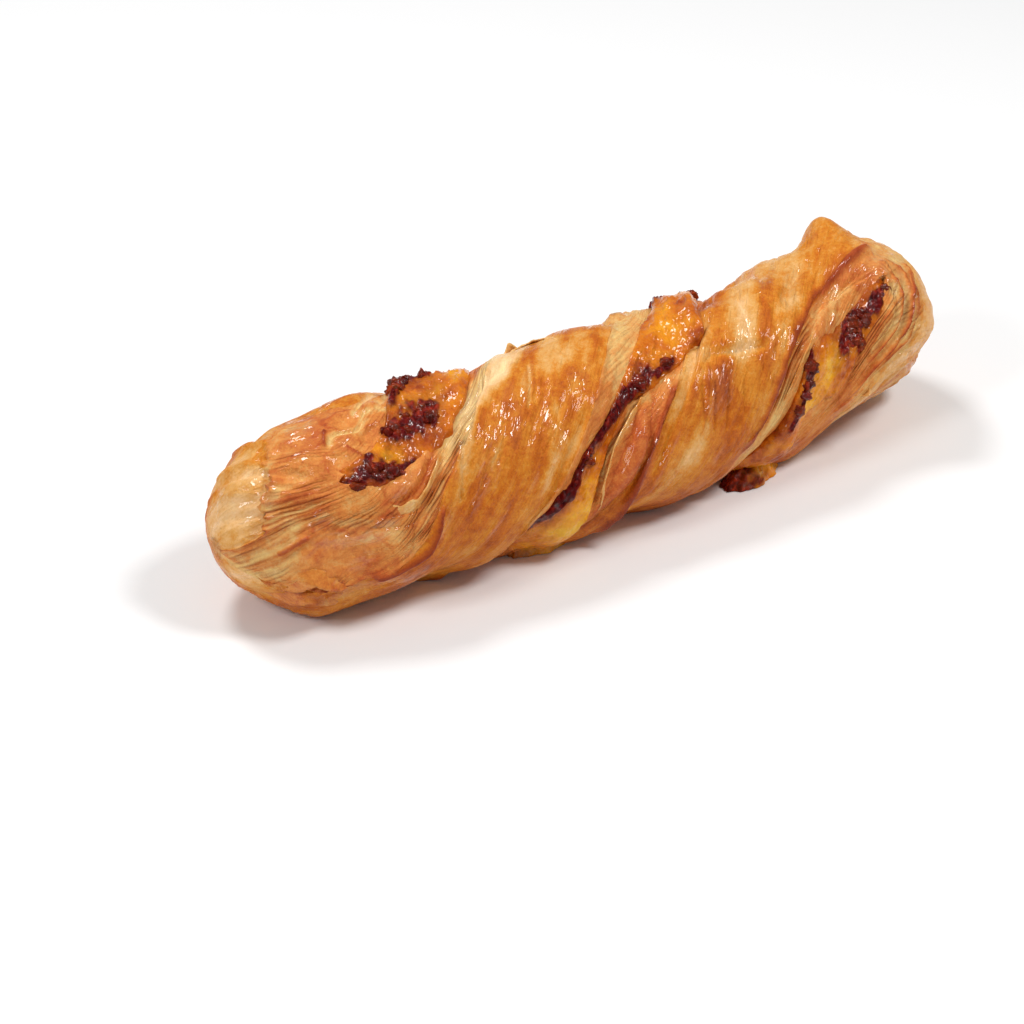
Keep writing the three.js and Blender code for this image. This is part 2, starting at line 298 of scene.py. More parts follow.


# Single features of the crust, each placed by x and by the distance round from a cut edge's
# middle line, plus towards sheet 1. Tones run from -1, pale, to 1, dark, and carry the crust's
# browning and also painted light and shade.

# Lines: edge, kind, half width, height, tone, points. A leaf is a step that falls to the line's
# left; a ridge or crease is the same to both sides. A dark tone along a crease or a leaf's step is
# painted shade over some browning; a pale tone on a ridge is partly pale dough and partly painted
# highlight.
LINES = [
    ("A", "crease", 0.8, 1.1, 0.7, [(-106, 18.3), (-102, 15.5), (-98, 13.3)]),
    ("A", "leaf", 0.6, 0.8, 0.2,
     [(-96, 13), (-87, 14.5), (-78, 17.6), (-69, 21), (-64, 22.4), (-59, 21.5), (-54, 22.2)]),
    ("A", "leaf", 0.6, 0.9, 0.2,
     [(-90, 9.4), (-82, 12.7), (-74, 15.8), (-68, 18.6), (-63, 19), (-57, 18.6)]),
    ("A", "crease", 1.3, 2.0, 0.85,
     [(-63, 23.5), (-65, 26.2), (-69, 29.2), (-74, 29.7), (-79, 30.9), (-84, 31.5)]),
    ("A", "leaf", 0.5, 0.6, 0.2, [(-72, 20), (-73, 22.5), (-74, 25.9), (-78, 28.1)]),
    ("A", "ridge", 1.5, 1.5, -0.6,
     [(-60, 15.6), (-52, 16.1), (-44, 18.5), (-37, 22), (-30, 26), (-22, 29)]),
    ("A", "ridge", 0.8, 1.0, -0.8,
     [(-86, -10.5), (-82, -14), (-78, -13.5), (-74, -13), (-70, -15.6), (-66, -15.3)]),
    ("A", "ridge", 0.7, 0.9, -0.7, [(-73, -19.4), (-66, -20.7), (-59, -22)]),
    ("A", "ridge", 0.7, 0.9, -0.7, [(-66, -15.3), (-62, -10.1), (-57, -11.9)]),
    ("A", "crease", 0.6, 0.9, 0.8, [(-83, -17.2), (-86, -11.4)]),
    ("A", "crease", 0.5, 0.7, 0.7, [(-81, -9.4), (-78, -3.9)]),
    ("A", "leaf", 0.6, 1.2, 0.2, [(-109, 36), (-104, 38.5), (-100, 34.6), (-94, 33.5), (-90, 34)]),
    ("A", "leaf", 0.5, 0.9, 0.2, [(-102, 31.5), (-97, 29.8), (-92, 32)]),
    ("A", "ridge", 0.9, 0.8, -0.2, [(-50, 21), (-54, 24.9), (-57, 31)]),
    ("A", "ridge", 0.5, 0.5, 0.0, [(-40, 36), (-43, 37.7), (-48, 35.5), (-51, 36.5)]),
    ("A", "ridge", 0.7, 0.6, -0.3, [(-18, 40), (-22, 42.5), (-27, 44)]),
    ("B", "leaf", 0.8, 2.6, -0.5,
     [(8, -3), (2, -0.2), (-4, 0.6), (-10, 2.2), (-13, -1), (-15, -7)]),
    ("B", "crease", 1.4, 2.2, 0.85,
     [(20, -15), (11, -13.2), (7, -13.6), (2, -15.3), (-3, -17.8), (-8, -20.7), (-14, -22)]),
    ("B", "ridge", 1.3, 1.6, -0.4,
     [(40, -22.4), (31, -17), (24, -17.5), (16, -18), (9, -18.6), (0, -21)]),
    ("B", "crease", 0.8, 0.6, 0.25, [(28, -23), (25, -25.5), (22, -29), (18, -32)]),
    ("B", "ridge", 0.7, 0.7, -0.2, [(26, -20.9), (33, -29), (41, -38), (45, -45)]),
    ("A", "ridge", 1.2, 1.1, -0.2, [(58, -38), (64, -35), (71, -31.9), (77, -27)]),
    ("A", "ridge", 1.4, 0.8, -0.4, [(66, -28.5), (60, -34), (52, -41)]),
    ("A", "crease", 1.3, 1.5, 0.85,
     [(97, -9.5), (93, -10.8), (88, -11.8), (82, -14.7), (77, -17.8), (70, -23), (65, -24.9),
      (57, -28.2), (51, -29.4), (45, -28.4), (40, -26), (36, -23.5), (30, -22)]),
    ("A", "leaf", 0.6, 0.9, -0.3, [(60, -20), (66, -19.6), (74, -14.2), (82, -7.8), (89, -3)]),
    ("A", "leaf", 0.5, 0.7, -0.2, [(66, -22), (72, -18), (78, -12.1), (86, -6.4), (93, -3)]),
    ("A", "ridge", 0.7, 1.3, -0.3,
     [(93, 1.5), (93.2, 6.1), (91.6, 10), (88.6, 13.2), (85, 13.5), (81, 12.4)]),
    ("A", "ridge", 0.7, 1.3, -0.3,
     [(97, -4.4), (98, 2.5), (97, 7.5), (94, 12.5), (90, 16.1), (86, 17), (80, 17.2), (72, 14)]),
    ("A", "crease", 0.8, 1.5, 0.9, [(101.5, 2), (101, 5.2), (98, 10.8), (94, 15.2), (90, 18.2)]),
    ("A", "leaf", 0.7, 0.8, 0.1,
     [(66, 14), (72, 17.5), (81, 22.8), (88, 24.3), (94, 23.6), (99, 18.9), (103, 12.7),
      (107, 3.8), (108, -8)]),
    ("A", "leaf", 0.5, 0.8, 0.0, [(60, 9), (68, 11.5), (76, 10.5), (80, 7), (82, 3)]),
    ("A", "crease", 0.5, 0.9, 0.8,
     [(95, 1), (95.2, 6), (93.5, 10.5), (90, 14.5), (85, 15.3), (79, 14.5)]),
    ("A", "crease", 0.5, 0.9, 0.7,
     [(99.5, -2), (99.8, 3.5), (97, 11), (91, 17.5), (86, 19.3), (75, 17)]),
    ("A", "crease", 0.5, 0.9, 0.7,
     [(104, -4), (103.5, 4), (101, 10.5), (97, 16.5), (92, 20.8), (79, 20.5)]),
    ("A", "ridge", 0.5, 1.0, -0.8, [(-19.4, 37), (-23.6, 39.9), (-27.7, 41.5), (-29.6, 42.2)]),
    ("A", "ridge", 0.4, 0.7, -0.3,
     [(-43.4, 32.7), (-43.2, 35.7), (-45.3, 35.1), (-47.7, 34), (-49.4, 34.4), (-51, 36)]),
    ("B", "ridge", 1.6, 0.5, -0.5, [(-10.4, 27.5), (-15.6, 29.5), (-19.8, 31.3), (-23.4, 31.9)]),
    ("B", "ridge", 1.2, 0.9, -0.2,
     [(-12, 21), (-19, 21), (-25, 21.8), (-29, 20.6), (-33, 19.5), (-38, 19)]),
    ("B", "ridge", 0.6, 0.9, -0.35, [(29, -23), (31, -25.2), (37.4, -34.3), (44.7, -43.7), (48, -47.9)]),
    ("B", "ridge", 0.8, 0.6, -0.3, [(49, -30), (46, -34), (43.5, -38.5), (42, -41)]),
    ("B", "ridge", 0.6, 0.8, 0.0, [(23, -23), (21.4, -27.6), (20.3, -31.8)]),
    ("B", "ridge", 0.6, 0.8, 0.1, [(27.5, -28), (24.8, -32.4), (23.3, -37.5)]),
    ("B", "ridge", 0.6, 0.7, 0.1, [(31, -34.5), (29, -39), (27.3, -43.3)]),
    ("B", "ridge", 0.6, 0.6, 0.0, [(36, -41), (34.5, -45), (33.2, -48.9)]),
    ("A", "crease", 1.2, 1.7, 0.8,
     [(-36, -19), (-27, -20.5), (-17, -21), (-7, -21.8), (4, -22), (14, -21.5)]),
    ("A", "leaf", 0.6, 1.0, 0.1, [(-34, -12), (-24, -13), (-13, -12), (-3, -14), (8, -13)]),
    ("A", "leaf", 0.6, 0.9, 0.0, [(16, 9), (6, 11), (-4, 10), (-14, 12), (-24, 11)]),
    ("A", "crease", 1.0, 1.4, 0.7, [(-14, 22), (-4, 22.5), (6, 22), (16, 21)]),
    ("B", "crease", 1.2, 1.7, 0.8, [(52, 17), (60, 18.5), (69, 19), (78, 18), (86, 16)]),
    ("B", "leaf", 0.6, 1.0, 0.1, [(84, 9), (74, 11), (64, 10), (54, 12)]),
    ("B", "leaf", 0.6, 0.9, 0.0, [(54, -7), (64, -8), (74, -7), (84, -9)]),
    ("B", "crease", 1.0, 1.4, 0.7, [(56, -13), (66, -13.8), (76, -13.5), (86, -13)]),
    ("B", "crease", 1.1, 1.5, 0.7, [(-54, 18), (-64, 18.6), (-76, 19), (-88, 20)]),
    ("B", "leaf", 0.6, 1.0, 0.1, [(-88, 9), (-76, 11), (-64, 10), (-54, 11)]),
    ("B", "leaf", 0.6, 0.9, 0.0, [(-54, -7), (-66, -8), (-78, -7), (-90, -9)]),
]
# In half widths: how far a line reaches, where a leaf falls, how long its ramp is, and how wide pale
# tones (partly painted highlight), dark tones (painted shade) and the painted shade at the bottom of
# a crease are
LINE_REACH = 6.0
LEAF_FALL = (-0.3, 0.5)
LEAF_RAMP = 3.5
PALE_WIDTH = 1.5
DARK_WIDTH = 0.9
CREASE_BOTTOM = 0.6
# Shine of a crease and of a pale crest: width in half widths, and strength
CREASE_SHINE = (1.6, 0.25)
CREST_SHINE = (1.2, 0.5)
PALE_CREST = -0.5
# Share of a line over which it fades in or out, and how unevenly it runs
LINE_ENDS = 0.1
LINE_SWAY = [(0.35, 4, 4, 3.0, 31)]
MOST_SWAY = 1.3

# Smooth swellings with a rim: edge, x, place, half length, half width, turn, height, tone, gloss
DOMES = [
    ("A", -95, 22.8, 15.5, 8.6, 6, 1.7, -0.03, 0.15),
    ("A", -68, 9.8, 9.5, 3.8, 8, -2.0, 0.05, 0.4),
    ("A", -84, -5.0, 4.4, 4.4, 0, 1.2, -0.02, 0.3),
    ("A", -75, -18.0, 6.0, 3.8, 0, 1.2, -0.10, 0.3),
    ("A", -61, -15.0, 4.2, 3.2, 0, 1.1, -0.10, 0.3),
    ("A", -72, -8.6, 4.4, 3.4, 0, 0.9, -0.08, 0.4),
    ("A", -90, -20.5, 9.0, 7.0, 0, 0.5, 0.12, 0.6),
    ("B", -4, -8.5, 13.0, 5.0, 18, -1.5, 0.05, 0.4),
    # Painted shade: the colour laid into crease bottoms and into the gaps between leaves, and how
    # strongly
    ("A", 70, -15.0, 7.0, 3.0, 33, -0.5, -0.05, 0.8),
]
# Where a swelling ends, its rim's place, width and tone, and the share of leaves left on it
DOME_EDGE = (0.35, 1.1)
DOME_RIM = (1.05, 0.07, 0.3)
DOME_LEAVES = 0.15

# The broken edge of the skin that laps over the left end: place and x. It is raised between two
# places, each with its ease, and leaves a hollow before it. Its jags and folds are noises over the
# direction and the distance from the fan's middle.
LEFT_BREAK = [(-32, -93), (-20, -99), (-10, -102.4), (-1.4, -105.8), (8, -108), (13, -113), (20, -118)]
LEFT_BREAK_REACH = 40.0
LEFT_BREAK_STEP = 2.6
# The hollow is also painted darker, as painted shadow.
LEFT_BREAK_HOLLOW = 2.8
HOLLOW_WIDTH = 3.0
RAISED_FROM = (-19, -9)
RAISED_TO = (22, 32)
LEFT_JAGS = [(2.6, 1 / 6, 40, 1.5, 61), (1.82, 1 / 22, 30, 4.5, 62)]
LEFT_FOLDS = [(2.6, 1 / 4, 30, 0.7, 64), (1.4, 1 / 9, 20, 0.7, 65)]
LAPPED_TO = (-98, -88)
LAPPED_ROUND = (50, 80)
# Painted light and shade on the folds: paler crests, darker valleys
FOLD_LIGHT_AND_SHADE = -0.24

# Where the leaves give way to skin on the folded right end: place and x, and the last place
RIGHT_BREAK = [(-8, 108), (3.8, 107), (12.7, 103), (18.9, 99), (24, 93)]
RIGHT_BREAK_PLACE = 24.0
RIGHT_SKIN_FROM = (23.5, 25.0)
RIGHT_SKIN_X = 60.0

# The fan of leaves in the left end
FAN_FROM = -84.0
FAN_EASE_FROM = -66.0
FAN_PLACE = 6.0
FAN_SPREAD = 34.0
FAN_POWER = 1.3
FAN_TIP = 4.0

# Paler and browner places: edge, x, place, half length, half width, change
BROWNING = [
    ("A", -112, 0, 14, 60, -0.22),
    ("A", -96, -24, 14, 14, -0.10),
    ("A", 104, 20, 14, 50, -0.16),
    ("A", 80, 27, 16, 9, -0.20),
    ("A", 91, 13, 8, 9, -0.06),
    ("B", -3, -8, 16, 7, 0.17),
    ("A", -50, 40, 22, 12, 0.05),
    ("A", -51, 41, 8, 7, 0.06),
    ("A", -70, 11, 12, 5, 0.04),
    ("A", -78, 14, 20, 8, -0.06),
    ("A", 75, -38, 22, 14, -0.10),
    ("A", -30, 33, 7, 5, 0.02),
    ("B", -16, 30.5, 8, 5, 0.12),
    ("B", -31, 34, 6, 5, 0.10),
    ("B", -11, 41, 9, 8, -0.16),
    ("A", -41, 33, 7, 7, -0.05),
    ("A", 86, -27, 8, 9, -0.06),
    ("B", 47, -33, 12, 10, -0.11),
    ("B", 28, -33, 7, 5, 0.12),
    ("B", 14, -36, 8, 6, -0.02),
    ("B", -5, 30, 10, 6, -0.14),
    ("A", -52, 27, 7, 6, -0.13),
    ("A", -63, 18, 6, 4, -0.06),
    ("B", 18, -16, 8, 4, -0.09),
    ("B", 41, -25, 7, 6, -0.07),
    ("A", 50, -20, 10, 7, -0.10),
    ("A", 40, -18, 9, 6, -0.08),
    ("A", 87, -5, 5, 5, 0.09),
    ("A", 99, 3, 6, 6, 0.06),
    ("A", 70, -15, 6, 4, 0.07),
    ("A", -102, 14, 8, 10, 0.05),
]

# Browning of the skin and the leaves, how much darker the low parts are (partly browning, partly painted
# shade), and how far tones, which carry painted light and shade, change it
BAKED_SKIN = 0.50
BAKED_LEAVES = 0.47
CLOUDS_ON_LEAVES = 0.7
LOW_BROWNING_AND_SHADE = 0.05
LOW_PART = (4.0, 26.0)
TONE_SHARE = 0.32
# Raised leaves and lumps are painted paler and sunken ones darker, as painted light and shade
RAISED_LIGHT_AND_SHADE = 0.30

# The pale border of the skin along the left groove: x, and the places where it starts and stops
PALE_X = [-60, -44, -30, -18, 0]
PALE_FROM = [13, 16.5, 19, 21, 24]
PALE_TO = [16, 21, 28, 32, 30]
PALE_ENDS = ((-64, -50), (-10, 20))
PALE_CHANGE = -0.25

# The pale leaves along the middle groove: how far round from it, from which x, and the change
BORDER_PLACE = (17.0, 22.0)
BORDER_FROM = (-16.0, 4.0)
BORDER_CHANGE = -0.14

# Stacks of leaves: thickness of a leaf, its length along the twist and its height
LEAF_STACKS = [(5.4, 34.0, 0.65), (2.6, 22.0, 0.55), (1.3, 14.0, 0.28)]

# Where leaves show most in the cut edges: edge, x, place, half length, half width, strength
LEAF_PATCHES = [
    ("A", -99, 4, 12, 10, 1.0),
    ("A", -108, 20, 9, 14, 0.9),
    ("A", -82, 13, 16, 4.5, 0.8),
    ("A", -64, 21, 16, 6, 1.0),
    ("A", -99, 34, 14, 5, 0.9),
    ("A", -97, -14, 7, 4, 0.6),
    ("A", 97, 8, 9, 17, 0.8),
    ("A", 82, 10, 11, 6, 1.0),
    ("A", -42, 19, 18, 5, 0.6),
    ("A", 56, -24, 17, 4, 0.9),
    ("A", -8, 2, 28, 20, 0.8),
    ("B", 62, 0, 26, 18, 0.8),
    ("B", -78, 0, 26, 22, 0.8),
]
PATCH_EDGE = (0.5, 1.15)
QUIET_LEAVES = 0.25

# Shape of single leaves, and of the wrinkles and blisters in the skin
# Width of the painted shade in the gaps between leaves
GAP_WIDTH = 0.32
LEAF_BEND = 0.3
FAINT_LEAF = 0.35
LEAF_ROUND = 0.7
LEAF_LEVEL = 0.6
WRINKLE_HEIGHT = 0.35
WRINKLE_WIDTH = 0.09
BLISTER_HEIGHT = 1.1
BLISTERS_FROM = 0.15

# Noises: height, sizes along and across, level and seed
LEAF_WAVES = [(1.6, 26, 11, 0.5, 3), (0.9, 9, 6, 2.5, 4), (0.25, 3.5, 3, 4.5, 2)]
SKIN_PUFFS = [(0.75, 17, 11, 0.4, 43), (0.30, 16, 5, 0.4, 41), (0.10, 2.0, 1.6, 0.4, 46)]
DOUGH_LUMPS = [(0.6, 8, 5, 0.9, 48), (0.25, 3, 2.4, 0.9, 49)]
BAKE_STREAKS = [(0.06, 22, 5, 0.2, 71)]
BAKE_CLOUDS = [(0.18, 16, 12, 0.2, 73), (0.09, 8, 6, 0.4, 74), (0.045, 4, 3, 0.8, 75)]
PALE_RIM = [(1.5, 4, 4, 7.0, 74)]
SEAM_EASE = (4.0, 16.0)

# Wet, glinting places: edge, x, place, half length, half width
WET_PATCHES = [
    ("A", -46, 34, 6, 7),
    ("B", -27, 26, 7, 3),
    ("A", -25, 39, 7, 3),
    ("A", -87, -23, 5, 5),
    ("A", -87, 17, 12, 4),
    ("A", -103, -10, 3, 10),
    ("A", -111, -22, 3, 8),
    ("A", -72, 9, 5, 3),
    ("A", -52, 23, 7, 3),
    ("B", 26, -31, 6, 4),
    ("B", 43, -36, 5, 7),
    ("A", 64, -34, 8, 4),
    ("A", 92, -4, 4, 6),
    ("A", 73, -13, 6, 5),
    ("A", 78, 2, 5, 5),
    ("B", 1, -14, 8, 2),
]
SPRINKLED = (0.22, 0.42)
SPRINKLED_WET = 0.7

# The lip of a sheet on the cheese, its least cut edge, its calm ends and how softly it settles
LIP_SHARE = 0.8
LEAST_CUT = 2.0
CALM_ENDS = 1.6
FLAT_ENDS = 2.0
TRAY_EASE = 0.35


def smooth_line(points, per_span=9):
    """Points along a smooth line through the given ones."""
    p = np.asarray(points, float)
    p = np.vstack([2 * p[0] - p[1], p, 2 * p[-1] - p[-2]])
    t = np.linspace(0, 1, per_span, endpoint=False)[:, None]
    spans = []
    for a, b, c, d in zip(p, p[1:], p[2:], p[3:]):
        bend = (2 * a - 5 * b + 4 * c - d) * t ** 2 + (3 * b - a - 3 * c + d) * t ** 3
        spans.append(b + 0.5 * ((c - a) * t + bend))
    return np.vstack(spans + [p[-2:-1]])


def line_field(x, place, share, points, margin):
    """Which places lie near a smooth line, their signed distance from it and share along it."""
    line = smooth_line(points)
    low, high = line.min(0) - margin, line.max(0) + margin
    near = (x > low[0]) & (x < high[0]) & (place > low[1]) & (place < high[1])
    px, pv, scale = x[near][:, None], place[near][:, None], share[near][:, None]
    step = np.diff(line, axis=0)
    rx = px - line[:-1, 0]
    rv = (pv - line[:-1, 1]) * scale
    sv = step[:, 1] * scale
    along = np.clip((rx * step[:, 0] + rv * sv) / (step[:, 0] ** 2 + sv ** 2), 0, 1)
    dx = rx - along * step[:, 0]
    dv = rv - along * sv
    distance = np.hypot(dx, dv)
    best = distance.argmin(1)
    row = np.arange(len(best))
    side = np.sign(step[best, 0] * dv[row, best] - sv[row, best] * dx[row, best])
    return near, distance[row, best] * side, (best + along[row, best]) / len(step)


def line_profile(kind, distance, half):
    if kind == "leaf":
        fall = smoothstep(-distance / half, *LEAF_FALL)
        return fall * np.exp(-np.maximum(-distance, 0) / (LEAF_RAMP * half))
    shape = hump(distance, half)
    return -shape if kind == "crease" else shape


def add_lines(fields, x, places, share):
    """Adds the lines' heights, their tones with painted shade and highlight, and crease shade to a
    sheet's fields.
    """
    for edge, kind, half, height, tone, points in LINES:
        near, distance, along = line_field(x, places[edge], share, points, LINE_REACH * half)
        if not near.any():
            continue
        ends = between(along, (0, LINE_ENDS), (1 - LINE_ENDS, 1))
        sway = 1 + mixed_noise(x[near], places[edge][near], LINE_SWAY)
        fields["relief"][near] += height * ends * sway * line_profile(kind, distance, half)
        width = half * (PALE_WIDTH if tone < 0 else DARK_WIDTH)
        fields["tone"][near] += tone * ends * hump(distance, width) * np.minimum(sway, MOST_SWAY)
        if kind == "crease":
            # Painted shade at the bottom of a dark crease
            bottom = ends * hump(distance, CREASE_BOTTOM * half) * max(tone, 0)
            fields["crevice_shade"][near] = np.maximum(fields["crevice_shade"][near], bottom)
        shine = CREASE_SHINE if kind == "crease" else CREST_SHINE
        if kind == "crease" or tone < PALE_CREST:
            fields["gloss"][near] += shine[1] * ends * hump(distance, shine[0] * half)


def add_domes(fields, x, places, share):
    """Adds the smooth swellings and holds back the leaves on them."""
    for edge, at, place, half_long, half_wide, turn, height, tone, gloss in DOMES:
        dx = x - at
        dv = (places[edge] - place) * share
        c, s = math.cos(math.radians(turn)), math.sin(math.radians(turn))
        wobble = 1 + 0.3 * noise(x / 6, places[edge] / 6, at, seed=17)
        wobble = wobble + 0.15 * noise(x / 2, dv / 2, at, seed=18)
        reach = np.hypot((dx * c + dv * s) / half_long, (dv * c - dx * s) / half_wide) * wobble
        inside = 1 - smoothstep(reach, *DOME_EDGE)
        rim_at, rim_width, rim_tone = DOME_RIM
        fields["relief"] += height * inside
        fields["tone"] += tone * inside + rim_tone * hump(reach - rim_at, rim_width)
        fields["gloss"] += gloss * inside
        fields["leafy"] *= lerp(1.0, DOME_LEAVES, inside)


def leaf_layer(x, place, share, edge, side):
    """A distance across the stack of leaves, constant along each leaf."""
    off = place - wander(x, edge)
    if edge == "B":
        return off * share
    folded = np.hypot(off, np.maximum(x - FOLD_X, 0)) * np.sign(off + 1e-9 * side)
    folded = np.where(x > 0, np.abs(folded), folded)
    spread = 1 + (np.maximum(FAN_FROM - x, 0) / FAN_SPREAD) ** FAN_POWER
    centre = FAN_PLACE * smoothstep(-x, -FAN_EASE_FROM, -FAN_FROM)
    return (folded - centre) * share / spread


def fan_place(x, place, share):
    """Direction and distance from the middle of the fan of leaves in the left end."""
    left = np.maximum(FAN_FROM - x, 0) + FAN_TIP
    up = (place - FAN_PLACE) * share
    return np.arctan2(up, left), np.hypot(left, up)


def leaf_relief(x, stack):
    """Height of the leaves in a cut edge, and where the gaps between them lie, for painted shade."""
    height = np.zeros(x.shape)
    gaps = np.zeros(x.shape)
    for number, (thick, length, depth) in enumerate(LEAF_STACKS):
        bend = noise(x / length, stack / (2.5 * thick), 3.7 * number, seed=5 + number)
        turn = stack / thick + LEAF_BEND * bend
        leaf = np.floor(turn)
        ridge = 4 * (turn - leaf) * (leaf + 1 - turn)
        seen = smoothstep(noise(x / length, 0.37 * leaf, 9.0, seed=9 + number), -0.3, 0.2)
        shows = lerp(FAINT_LEAF, 1.0, seen)
        height += depth * (shows * ridge ** LEAF_ROUND - LEAF_LEVEL)
        gaps = np.maximum(gaps, shows * hump((turn - np.round(turn)) * thick, GAP_WIDTH))
    return height, gaps


def skin_relief(x, across):
    """Puffs, soft ripples, thin wrinkles and blisters of the glazed skin."""
    wrinkles = np.maximum(1 - np.abs(noise(x / 16, across / 6, 0.4, seed=42)) / WRINKLE_WIDTH, 0) ** 2
    blisters = np.maximum(noise(x / 2.8, across / 2.2, 0.4, seed=44) - BLISTERS_FROM, 0)
    blisters *= smoothstep(noise(x / 15, across / 12, 0.4, seed=45), -0.1, 0.25)
    puffs = mixed_noise(x, across, SKIN_PUFFS)
    return puffs + WRINKLE_HEIGHT * wrinkles + BLISTER_HEIGHT * blisters


def matched_noise(parts, x, places, share):
    """Noise laid out from edge A, eased into noise laid out from edge B where the sheets meet."""
    from_a, from_b = (mixed_noise(x, places[edge] * share, parts) for edge in "AB")
    return lerp(from_b, from_a, smoothstep(np.abs(places["B"]), *SEAM_EASE))


def left_folds(x, place, share, left):
    """Folds of the skin that laps over the left end, spreading out like the leaves under it."""
    lapped = (1 - smoothstep(x, *LAPPED_TO)) * (1 - smoothstep(np.abs(place), *LAPPED_ROUND))
    return lapped * lerp(0.5, 1.0, left) * mixed_noise(*fan_place(x, place, share), LEFT_FOLDS)


def sheet_columns(x, side):
    """Distances round from edge A of each column of a sheet, and which columns are skin."""
    knots = []
    for edge in "AB":
        half, _, shift = bead(x, edge)
        lip = side * shift + lerp(CLOSED_LIP, LIP_SHARE * half, slot_share(x))
        ragged = 0.7 * noise(x / 5, 0.3, side, seed=51) + 0.9 * noise(x / 14, 0.6, side, seed=52)
        skin = np.maximum(skin_start(x, edge, side) + ragged, lip + LEAST_CUT)
        knots.append((lip, skin))
    (lip_a, skin_a), (lip_b, skin_b) = knots
    edge_steps = np.linspace(0, 1, EDGE_COLUMNS, endpoint=False)[None, :]
    skin_steps = np.linspace(0, 1, SKIN_COLUMNS)[None, :]
    first = lerp(lip_a[:, None], skin_a[:, None], edge_steps)
    middle = lerp(skin_a[:, None], HALF_ROUND - skin_b[:, None], skin_steps)
    last = lerp(HALF_ROUND - lip_b[:, None], HALF_ROUND - skin_b[:, None], edge_steps)[:, ::-1]
    is_skin = np.zeros((len(x), 2 * EDGE_COLUMNS + SKIN_COLUMNS))
    is_skin[:, EDGE_COLUMNS:EDGE_COLUMNS + SKIN_COLUMNS] = 1.0
    return np.hstack([first, middle, last]), is_skin


def break_masks(x, place_a, share):
    """Skin that laps over the left end, the hollow beside it, and skin that closes the right end."""
    jags = mixed_noise(*fan_place(x, place_a, share), LEFT_JAGS)
    past = x - np.interp(place_a, *np.array(LEFT_BREAK, float).T) - jags
    left = (np.abs(place_a) < LEFT_BREAK_REACH) * smoothstep(-past, -0.5, 0.5)
    step = between(place_a, RAISED_FROM, RAISED_TO)
    hollow = step * np.exp(-np.maximum(past, 0) / HOLLOW_WIDTH) * (1 - left)
    right = smoothstep(x - np.interp(place_a, *np.array(RIGHT_BREAK, float).T), -0.5, 1.5)
    beyond = smoothstep(place_a, *RIGHT_SKIN_FROM) * (x > RIGHT_SKIN_X)
    right = np.maximum(right * (place_a < RIGHT_BREAK_PLACE), beyond)
    return left, step * left, hollow, right


def grid_normals(points):
    """Unit normals of a grid of points, pointing out from the twist."""
    along = np.gradient(points, axis=0)
    across = np.gradient(points, axis=1)
    normals = np.cross(along, across)
    normals /= np.maximum(np.linalg.norm(normals, axis=-1, keepdims=True), 1e-12)
    return normals


def strip_rows():
    t = np.linspace(-1, 1, SHEET_ROWS + 2)[1:-1]
    return LENGTH / 2 * (0.5 * t + 0.5 * np.sin(np.pi / 2 * t))


def settle(points):
    """Flattens what would reach below the tray."""
    points[..., 2] = soft_plus(points[..., 2], TRAY_EASE)
    return points


def patches_field(patches, x, places, seed):
    """The strongest of the patches at each place, with uneven outlines."""
    total = np.zeros(x.shape)
    for edge, at, place, half_long, half_wide, strength in patches:
        uneven = 1 + 0.3 * noise(x / 5, places[edge] / 4, at, seed=seed)
        reach = np.hypot((x - at) / half_long, (places[edge] - place) / half_wide) * uneven
        total = np.maximum(total, strength * (1 - smoothstep(reach, *PATCH_EDGE)))
    return total


def wet_field(x, places, share):
    """How wet the glaze looks, in patches and sprinkled about."""
    wet = patches_field([patch + (1.0,) for patch in WET_PATCHES], x, places, 16)
    sprinkled = smoothstep(noise(x / 9, places["A"] * share / 7, 0.3, seed=19), *SPRINKLED)
    return np.maximum(wet, SPRINKLED_WET * sprinkled)


def sheet_fields(x, places, share, is_skin, side):
    """Relief, tone with its painted light and shade, and finish of a sheet's outer face."""
    near_a = side * places["A"] < HALF_ROUND / 2
    layer = np.where(
        near_a,
        leaf_layer(x, places["A"], share, "A", side),
        leaf_layer(x, places["B"], share, "B", side),
    )
    stack = layer + mixed_noise(x, layer, LEAF_WAVES)
    left, raised, hollow, right = break_masks(x, places["A"], share)
    skin = np.maximum(is_skin, np.maximum(left, right) * near_a)
    fields = {key: np.zeros(x.shape) for key in ("relief", "tone", "crevice_shade", "gloss")}
    fields["leafy"] = (1 - skin) * np.maximum(QUIET_LEAVES, patches_field(LEAF_PATCHES, x, places, 15))
    add_domes(fields, x, places, share)
    add_lines(fields, x, places, share)
    leafy = fields["leafy"]
    height, gaps = leaf_relief(x, stack)
    puffs = skin * share * skin_relief(x, places["A"] * share)
    lumpy = (1 - skin) * matched_noise(DOUGH_LUMPS, x, places, share)
    folds = left_folds(x, places["A"], share, left)
    broken = near_a * share * (LEFT_BREAK_STEP * raised - LEFT_BREAK_HOLLOW * hollow)
    fields["relief"] += leafy * height + puffs + lumpy + folds + broken
    # Tones: painted shadow in the hollow beside the lapped skin, painted light and shade on the folds,
    # and raised leaves and lumps painted paler, sunken ones darker
    fields["tone"] += near_a * hollow + FOLD_LIGHT_AND_SHADE * folds - RAISED_LIGHT_AND_SHADE * (leafy * height + lumpy)
    # Painted shade in the gaps between leaves
    fields["crevice_shade"] = np.maximum(fields["crevice_shade"], gaps * leafy)
    fields["wet"] = wet_field(x, places, share)
    fields["skin"] = skin
    fields["stack"] = stack
    return fields


